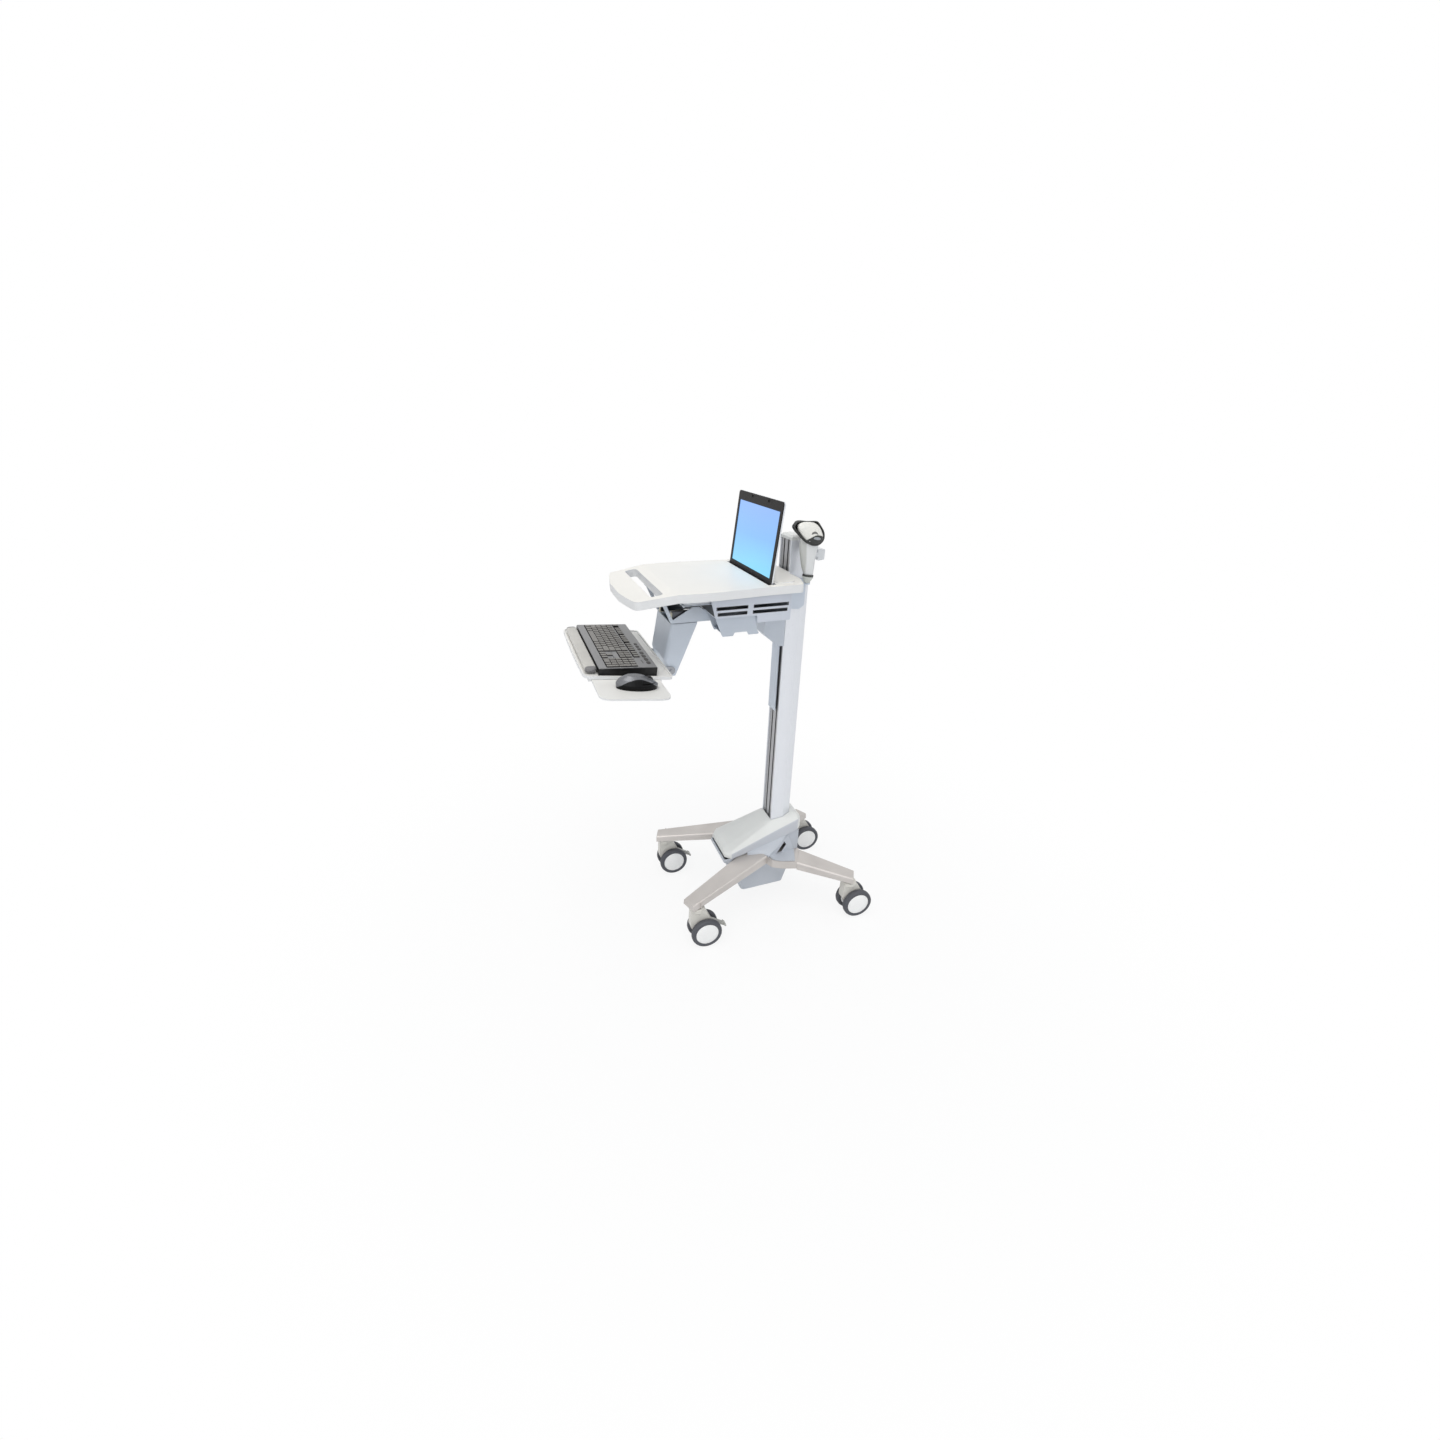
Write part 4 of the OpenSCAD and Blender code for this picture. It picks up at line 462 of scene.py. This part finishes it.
def palm_pad():
    """Crowned gel pad in a soft skin, lofted along its length."""
    # Half length, and bounds across in the tray's frame, in metres
    half, front, back, foot, top = 0.1995, -0.2497, -0.2173, -0.001, 0.0168
    steps, ring, end_length = 96, 40, 0.012
    verts = []
    for i in range(steps + 1):
        u = -1 + 2 * i / steps
        # The ends pull in over the last few millimetres
        end = max(0.0, 1 - (half * (1 - abs(u))) / end_length)
        pinch = math.sqrt(max(0.0, 1 - end ** 2))
        # Slightly higher at its middle, with faint waves along it
        crown = 1 - 0.05 * u ** 2 + 0.012 * math.sin(u * 23.0)
        for c, s in around(ring):
            # A rounded block: flatter below than above
            cy = bulged(c, 0.55)
            cz = bulged(s, 0.6 if s < 0 else 0.85)
            y = (front + back) / 2 + (back - front) / 2 * cy * (0.25 + 0.75 * pinch)
            z = (foot + top) / 2 + (top - foot) / 2 * cz * (0.2 + 0.8 * pinch) * (crown if s > 0 else 1)
            # Higher towards the keys
            z += 0.0012 * cy * (1 if s > 0 else 0)
            verts.append(Vector((half * u, y, z)))
    faces = []
    for i in range(steps):
        for j in range(ring):
            k = (j + 1) % ring
            faces.append((i * ring + j, i * ring + k, (i + 1) * ring + k, (i + 1) * ring + j))
    faces.append(tuple(range(ring)))
    faces.append(tuple(range(steps * ring, (steps + 1) * ring))[::-1])
    place = tray_frame()
    skin = surface("palm_pad", (0.78, 0.77, 0.745), 0.55, grain=0.35, bump=0.35, tint=0.03, wear=0,
                   sheen=0.25, paint=palm_paint)
    pad = piece("palm_rest_pad", [place @ v for v in verts], faces, skin, "keyboard_tray")
    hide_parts("palm_rest")


def fairing():
    """Filler panel on each side between the front leg, the cover's edge and the skirt behind the
    leg: a curved sheet with two faces and a closed rim."""
    # Upper and lower edge of the right-hand panel, front to back
    upper = [(76, -104, 244), (75.5, -62, 255.5), (74, -32, 263.5), (72.5, -4, 270.5), (70.5, 16, 275),
             (68.5, 32, 279), (66, 50, 283)]
    lower = [(86, -104, 234.5), (101, -62, 238.5), (119.5, -37, 240.2), (107, -8.5, 248.4),
             (95, 12.5, 254.2), (87.5, 24, 260.4), (70, 52, 275)]
    rows, thickness, bulge = 8, 1.8, 2.5
    for side, word in ((1, "right"), (-1, "left")):
        verts = []
        for inward in (0.0, thickness):
            for a, b in zip(upper, lower):
                for i in range(rows + 1):
                    t = i / rows
                    x, y, z = (p + (q - p) * t for p, q in zip(a, b))
                    # Swells a little between its edges
                    swell = bulge * math.sin(math.pi * t) - inward
                    verts.append(at(side * (x + 0.8 * swell), y, z + 0.6 * swell))
        count = len(upper) * (rows + 1)
        faces = []
        for sheet in (0, count):
            for k in range(len(upper) - 1):
                for i in range(rows):
                    p = sheet + k * (rows + 1) + i
                    faces.append((p, p + 1, p + rows + 2, p + rows + 1))
        # Rim between the two sheets
        ring = list(range(rows + 1)) + [k * (rows + 1) + rows for k in range(1, len(upper))]
        ring += list(range(count - 2, count - rows - 2, -1))
        ring += [k * (rows + 1) for k in range(len(upper) - 2, 0, -1)]
        for p, q in zip(ring, ring[1:] + ring[:1]):
            faces.append((p, q, q + count, p + count))
        piece("leg_fairing_" + word, verts, faces, finishes["base_plastic"], "base")


def media_buttons():
    """Row of small rubber buttons on the keyboard's rear deck, and three unlit status lights."""
    place = tray_frame()
    dark = surface("button_grey", (0.30, 0.295, 0.29), 0.5, edge=0.3, spec=0.3)
    # x, y, half length, half width and height over the deck
    row = [(x, -63, 9, 5, 1.0) for x in (6, 30, 54)]
    row += [(x, -64, 11, 6, 1.1) for x in (88, 116, 144, 172)]
    row += [(x, -80, 3, 2, 0.3) for x in (152, 162, 172)]
    for number, (x, y, length, width, lift) in enumerate(row):
        rings = []
        for share, up in ((1.0, -0.6), (1.0, lift * 0.6), (0.93, lift * 0.9), (0.8, lift),
                          (0.4, lift * 0.92)):
            ring = []
            for c, s in around(24):
                px = x + length * share * bulged(c, 0.6)
                # Bent like a shallow bow along its length
                py = y + width * share * bulged(s, 0.8) - 0.06 * (px - x) ** 2 / length
                ring.append(Vector((px, py, deck_height(py) + up)) * MM)
            rings.append(ring)
        verts, faces = loft(rings)
        piece("media_button_%d" % (number + 1), [place @ v for v in verts], faces, dark,
              "keyboard_tray")


def deck_fillers():
    """Plates of the keyboard's deck beside the upper arrow key, each as large as one key's pocket."""
    place = tray_frame()
    half = KEY_PITCH * 0.49
    for number, x in enumerate((FILLER_X, FILLER_X + 2 * KEY_PITCH)):
        rings = []
        for share, up in ((1.0, -3.0), (1.0, -0.3), (0.97, 0.0), (0.5, 0.0)):
            ring = []
            for c, s in around(24):
                px = x + half * share * bulged(c, 0.25)
                py = FILLER_Y + half * share * bulged(s, 0.25)
                ring.append(Vector((px, py, deck_height(py) + up)) * MM)
            rings.append(ring)
        verts, faces = loft(rings)
        piece("deck_filler_%d" % (number + 1), [place @ v for v in verts], faces,
              finishes["keyboard_plastic"], "keyboard_tray", smooth=False)


# ---------- Scanner ----------

SCANNER_FOOT = (97.0, 33.0, 1240.0)
SCANNER_TILT = math.radians(-6.5)
HEAD_CENTRE = (100.0, 30.8, 1377.5)
HEAD_TURN, HEAD_RISE = math.radians(8), math.radians(12)
# Outlines in mm on the head's back face: x towards the back of the cart, y up
HEAD_RIM = [(-60, 17), (-47, 31), (-26, 31), (-6, 30), (14, 29), (27, 26), (38, 12), (47, -3),
            (49, -16), (46, -29), (36, -39), (22, -44), (7, -43), (-7, -37), (-24, -25), (-42, -6)]
HEAD_DOME = [(-43, 16), (-37, 25), (-26, 28), (-13, 28), (4, 26), (19, 20), (31, 8), (38, -6),
             (41, -18), (39, -29), (29, -37), (14, -39), (-2, -34), (-18, -23), (-33, -6), (-41, 6)]
HEAD_CAP = [(-17, -27), (-9, -20), (10, -14), (24, -15), (37, -19), (44, -26), (38, -36),
            (26, -42), (10, -42), (-4, -37)]
DOME_MIDDLE = Vector((2, -4))
DOME_FOOT, DOME_RISE = -2.0, 13.0
# Points round each ring of the scanner's skins
SCANNER_RING = 64


def loop(points, count):
    """count points on a smooth closed curve through the given ones."""
    total, out = len(points), []
    for i in range(count):
        t = i * total / count
        k, f = int(t), t - int(t)
        p = [Vector(points[(k + d) % total]) for d in (-1, 0, 1, 2)]
        out.append(0.5 * (2 * p[1] + (p[2] - p[0]) * f + (2 * p[0] - 5 * p[1] + 4 * p[2] - p[3]) * f * f
                          + (3 * p[1] - p[0] - 3 * p[2] + p[3]) * f * f * f))
    return out


def head_frame():
    """Local frame of the scanner's head in mm: x to the cart's back, y up, z out of the dome."""
    out = Vector((math.cos(HEAD_TURN) * math.cos(HEAD_RISE), math.sin(HEAD_TURN) * math.cos(HEAD_RISE),
                  math.sin(HEAD_RISE)))
    across = Vector((-math.sin(HEAD_TURN), math.cos(HEAD_TURN), 0))
    turn = Matrix((across, out.cross(across), out)).transposed()
    return placed(*HEAD_CENTRE, turn) @ Matrix.Scale(MM, 4)


def dome_profile(share):
    """Height in mm of the head's dome at a share, from 0 to 1, of the way from its middle to its rim."""
    return DOME_FOOT + DOME_RISE * math.sqrt(max(0.0, 1 - share ** 2.4))


def dome_height(point):
    """Height in mm of the head's dome over a point of its back face."""
    away = Vector(point[:2]) - DOME_MIDDLE
    edge = loop(HEAD_DOME, SCANNER_RING)
    angle = math.atan2(away.y, away.x)
    reach = min(edge, key=lambda e: abs((math.atan2((e - DOME_MIDDLE).y, (e - DOME_MIDDLE).x)
                                         - angle + math.pi) % (2 * math.pi) - math.pi))
    return dome_profile(min(1.0, away.length / (reach - DOME_MIDDLE).length))


def draped(name, outline, lift, edge_lift, material):
    """A thin shaped plate that follows the dome, domed itself from edge_lift to lift."""
    place = head_frame()
    ring = loop(outline, 48)
    middle = sum(ring, Vector((0, 0))) / len(ring)
    rings = []
    for share, up in ((1.0, -1.5), (1.0, edge_lift), (0.97, (edge_lift * 2 + lift) / 3), (0.85, lift),
                      (0.6, lift), (0.3, lift)):
        level = []
        for p in ring:
            q = middle + (p - middle) * share
            level.append(Vector((q.x, q.y, dome_height(q) + up)))
        rings.append(level)
    verts, faces = loft(rings, first=False)
    piece(name, [place @ v for v in verts], faces, material, "scanner")


def level(points, share, z, other=None, blend=0.0):
    """A ring at a height: points drawn in to a share of their size, then moved towards other's."""
    centre = sum(loop(HEAD_RIM, SCANNER_RING), Vector((0, 0))) / SCANNER_RING
    out = []
    for i, p in enumerate(points):
        q = centre + (p - centre) * share
        if other:
            q = q.lerp(other[i], blend)
        out.append(Vector((q.x, q.y, z)))
    return out


def window_outline():
    """Rounded outline in mm of the scanning window on the head's back face, in step with the rim."""
    roll, start = math.radians(-22), math.radians(165)
    middle_x, middle_y, half_x, half_y = 7, 9, 40, 20
    points = []
    for i in range(SCANNER_RING):
        a = 2 * math.pi * i / SCANNER_RING + start
        c, s = math.cos(-a), math.sin(-a)
        x = half_x * bulged(c, 0.7)
        y = half_y * bulged(s, 0.7)
        points.append(Vector((middle_x + x * math.cos(roll) - y * math.sin(roll),
                              middle_y + x * math.sin(roll) + y * math.cos(roll))))
    return points


def scanner_hood():
    """Rubber bumper: rim round the dome, flank and hood that flares to the window's recess."""
    place, rim, window = head_frame(), loop(HEAD_RIM, SCANNER_RING), window_outline()
    rings = [level(rim, 0.86, -8), level(rim, 0.90, -1.5), level(rim, 0.935, 0.2),
             level(rim, 0.97, -0.6), level(rim, 0.995, -3), level(rim, 1.0, -7),
             level(rim, 0.985, -16, window, 0.15), level(rim, 0.95, -26, window, 0.55),
             level(rim, 0.98, -38, window, 0.95), level(window, 1.0, -45),
             level(window, 0.97, -46.5), level(window, 0.93, -45), level(window, 0.84, -34)]
    verts, faces = loft(rings, first=False)
    bumper = piece("scanner_hood", [place @ v for v in verts], faces, finishes["scanner_rubber"],
                   "scanner")
    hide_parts("scanner_bumper")


def scanner_window():
    """Dark red glass in the hood's recess."""
    place, window = head_frame(), window_outline()
    glass = Nodes("scanner_window")
    glass.shader.inputs["Base Color"].default_value = linear((0.22, 0.03, 0.05))
    glass.shader.inputs["Coat Weight"].default_value = 1.0
    rough = glass.span(glass.noise(30.0), 0.3, 0.7, 0.03, 0.1)
    glass.tree.links.new(rough, glass.shader.inputs["Roughness"])
    pane = [level(window, 0.86, -35), level(window, 0.86, -36.5), level(window, 0.80, -37.2),
            level(window, 0.4, -38)]
    verts, faces = loft(pane)
    piece("scanner_window", [place @ v for v in verts], faces, glass.material, "scanner")


def handle_frame():
    """Local frame of the scanner's handle in mm: z up along it, leaning back from its foot."""
    return placed(*SCANNER_FOOT, Matrix.Rotation(SCANNER_TILT, 3, "X")) @ Matrix.Scale(MM, 4)


def scanner_shell():
    """White dome of the head and the handle under it, as one moulding."""
    place, stand = head_frame(), handle_frame()
    edge = loop(HEAD_DOME, SCANNER_RING)
    rings = [[Vector((p.x, p.y, -10)) for p in edge]]
    for share in (1.0, 0.985, 0.95, 0.88, 0.78, 0.64, 0.46, 0.26, 0.1):
        flat = [DOME_MIDDLE + (p - DOME_MIDDLE) * share for p in edge]
        rings.append([Vector((q.x, q.y, dome_profile(share))) for q in flat])
    dome_verts, dome_faces = loft(rings)
    # Handle, round in its holder, deep and broad under the head. Each section is its height and its
    # reach in mm: to the cart's front, to its back, to the window's side and to the dome's side
    sections = [(8, 14.2, 13.4, 13.4, 13.4), (14, 17.5, 13.6, 14.2, 14.2), (30, 25, 13.8, 15, 14.5),
                (52, 31, 14.6, 15.5, 13), (74, 36, 16.5, 16, 10), (92, 39, 21, 16.5, 7),
                (108, 38, 26, 20, 4), (124, 31, 27, 24, 2), (136, 22, 22, 18, 0)]
    rings = []
    for height, fore, aft, inner, outer in sections:
        # It bends to the cart's front above its foot
        bend = 0.08 * max(0.0, height - 20)
        ring = []
        for c, s in around(SCANNER_RING):
            x = (outer if c > 0 else inner) * bulged(c, 0.85)
            y = (aft if s > 0 else fore) * bulged(s, 0.85)
            ring.append(Vector((x, y - bend, height)))
        rings.append(ring)
    verts, faces = loft(rings)
    shift = len(dome_verts)
    whole = [place @ v for v in dome_verts] + [stand @ v for v in verts]
    body = piece("scanner_shell", whole, dome_faces + [tuple(i + shift for i in f) for f in faces],
                 special["scanner_shell"], "scanner")
    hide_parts("scanner_body")


def scanner_foot():
    """Ring of rubber that the handle stands on."""
    stand = handle_frame()
    rings = []
    for height, radius in ((0, 15.4), (0.6, 16.2), (1.6, 16.5), (6.6, 16.5), (7.8, 16.1), (8.4, 14.0)):
        rings.append([Vector((radius * c, radius * s, height)) for c, s in around(SCANNER_RING)])
    verts, faces = loft(rings)
    piece("scanner_foot", [stand @ v for v in verts], faces, finishes["scanner_rubber"], "scanner")


def scanner_trim():
    """Dark cap on the dome with a plain pale badge, and the lamp's lens over it."""
    draped("scanner_cap", HEAD_CAP, 1.4, 0.4, finishes["scanner_rubber"])
    badge = [(13 + 12.6 * c - 0.6 * s, -23 + 4.1 * s - 1.8 * c) for c, s in around(24)]
    pale = surface("badge_grey", (0.62, 0.64, 0.66), 0.3, edge=0.3)
    draped("scanner_badge", badge, 2.4, 1.9, pale)
    lens = [(-6, -10), (-4, -5), (1, -2.6), (6, -2.2), (11, -4), (15, -8), (17, -12), (12, -10),
            (5, -8.6), (-1, -8.8)]
    grey = surface("lens_grey", (0.45, 0.45, 0.44), 0.25, edge=0.3)
    draped("scanner_lamp", lens, 0.9, 0.3, grey)


palm_pad()
fairing()
media_buttons()
deck_fillers()
scanner_hood()
scanner_window()
scanner_shell()
scanner_foot()
scanner_trim()


# ---------- Light, floor and camera ----------

# The photograph's side and the fitted focal length, both in its pixels
PHOTO_SIDE, FOCAL_LENGTH = 1440, 656.35
# Where the photograph was taken from, in metres in the row frame, and which way, in degrees
CAMERA_PLACE = (1.81484, -0.73329, 1.71364)
CAMERA_AZIMUTH, CAMERA_DOWN, CAMERA_ROLL = 75.92, 22.86, -0.64


def studio():
    """White world for the camera and for gloss, softer light on the cart, and two broad lamps."""
    world = bpy.data.worlds.new("studio")
    bpy.context.scene.world = world
    world.use_nodes = True
    tree = world.node_tree
    tree.nodes.clear()
    out = tree.nodes.new("ShaderNodeOutputWorld")
    seen, light = tree.nodes.new("ShaderNodeBackground"), tree.nodes.new("ShaderNodeBackground")
    seen.inputs["Color"].default_value = (1, 1, 1, 1)
    seen.inputs["Strength"].default_value = 1.0
    light.inputs["Color"].default_value = (0.93, 0.96, 1.0, 1)
    light.inputs["Strength"].default_value = 0.52
    path = tree.nodes.new("ShaderNodeLightPath")
    both = tree.nodes.new("ShaderNodeMath")
    both.operation = "MAXIMUM"
    either = tree.nodes.new("ShaderNodeMath")
    either.operation = "MAXIMUM"
    mix = tree.nodes.new("ShaderNodeMixShader")
    link = tree.links.new
    link(path.outputs["Is Camera Ray"], both.inputs[0])
    link(path.outputs["Is Glossy Ray"], both.inputs[1])
    link(both.outputs[0], either.inputs[0])
    link(path.outputs["Is Transmission Ray"], either.inputs[1])
    link(either.outputs[0], mix.inputs[0])
    link(light.outputs[0], mix.inputs[1])
    link(seen.outputs[0], mix.inputs[2])
    link(mix.outputs[0], out.inputs[0])
    for name, down, strength, spread, colour in (
            ("top_lamp", (-0.25, 0.25, -1.0), 1.45, 50, (1.0, 0.98, 0.95)),
            ("side_lamp", (-1.0, 0.35, -0.35), 0.44, 40, (0.96, 0.98, 1.0))):
        lamp = bpy.data.lights.new(name, "SUN")
        lamp.energy, lamp.angle, lamp.color = strength, math.radians(spread), colour
        made = bpy.data.objects.new(name, lamp)
        bpy.context.scene.collection.objects.link(made)
        made.rotation_euler = Vector(down).to_track_quat("-Z", "Y").to_euler()


def floor():
    """Pale floor that keeps the cart's shadow and runs out to plain white."""
    # Distances in metres over which the camera sees the floor turn white, and its share of white
    near, far, near_white = 0.3, 2.0, 0.86
    n = Nodes("floor_white")
    n.shader.inputs["Base Color"].default_value = (0.9, 0.9, 0.9, 1)
    n.shader.inputs["Roughness"].default_value = 0.9
    n.shader.inputs["Specular IOR Level"].default_value = 0.0
    glow = n.add("ShaderNodeEmission", {"Color": (1, 1, 1, 1), "Strength": 1.0}).outputs[0]
    path = n.add("ShaderNodeLightPath")
    seen = n.math("MAXIMUM", path.outputs["Is Camera Ray"], path.outputs["Is Glossy Ray"])
    away = n.add("ShaderNodeVectorMath", {0: n.place}, operation="LENGTH").outputs["Value"]
    whiteness = n.add("ShaderNodeMapRange", {
        "Value": away, "From Min": near, "From Max": far, "To Min": near_white, "To Max": 1.0},
        interpolation_type="SMOOTHERSTEP").outputs[0]
    share = n.math("MULTIPLY", seen, whiteness)
    mixed = n.add("ShaderNodeMixShader", {0: share, 1: n.shader.outputs[0], 2: glow}).outputs[0]
    n.tree.links.new(mixed, n.tree.nodes["Material Output"].inputs["Surface"])
    bpy.ops.mesh.primitive_plane_add(size=120, location=(0, 0, -0.0004))
    plane = bpy.context.object
    plane.name = "floor"
    plane.data.materials.append(n.material)


def camera():
    """The photograph's view: a pinhole fitted to the cart."""
    made = bpy.data.cameras.new("camera")
    made.sensor_width = 36.0
    made.lens = FOCAL_LENGTH / PHOTO_SIDE * made.sensor_width
    made.shift_x = 0.0496
    made.shift_y = -0.0239
    made.clip_start, made.clip_end = 0.05, 200
    view = bpy.data.objects.new("camera", made)
    bpy.context.scene.collection.objects.link(view)
    turn = (Matrix.Rotation(math.radians(CAMERA_AZIMUTH), 4, "Z")
            @ Matrix.Rotation(math.radians(90 - CAMERA_DOWN), 4, "X")
            @ Matrix.Rotation(math.radians(CAMERA_ROLL), 4, "Z"))
    view.matrix_world = Matrix.Translation(CAMERA_PLACE) @ turn
    bpy.context.scene.camera = view


studio()
floor()
camera()
bpy.context.scene.view_settings.view_transform = "Standard"
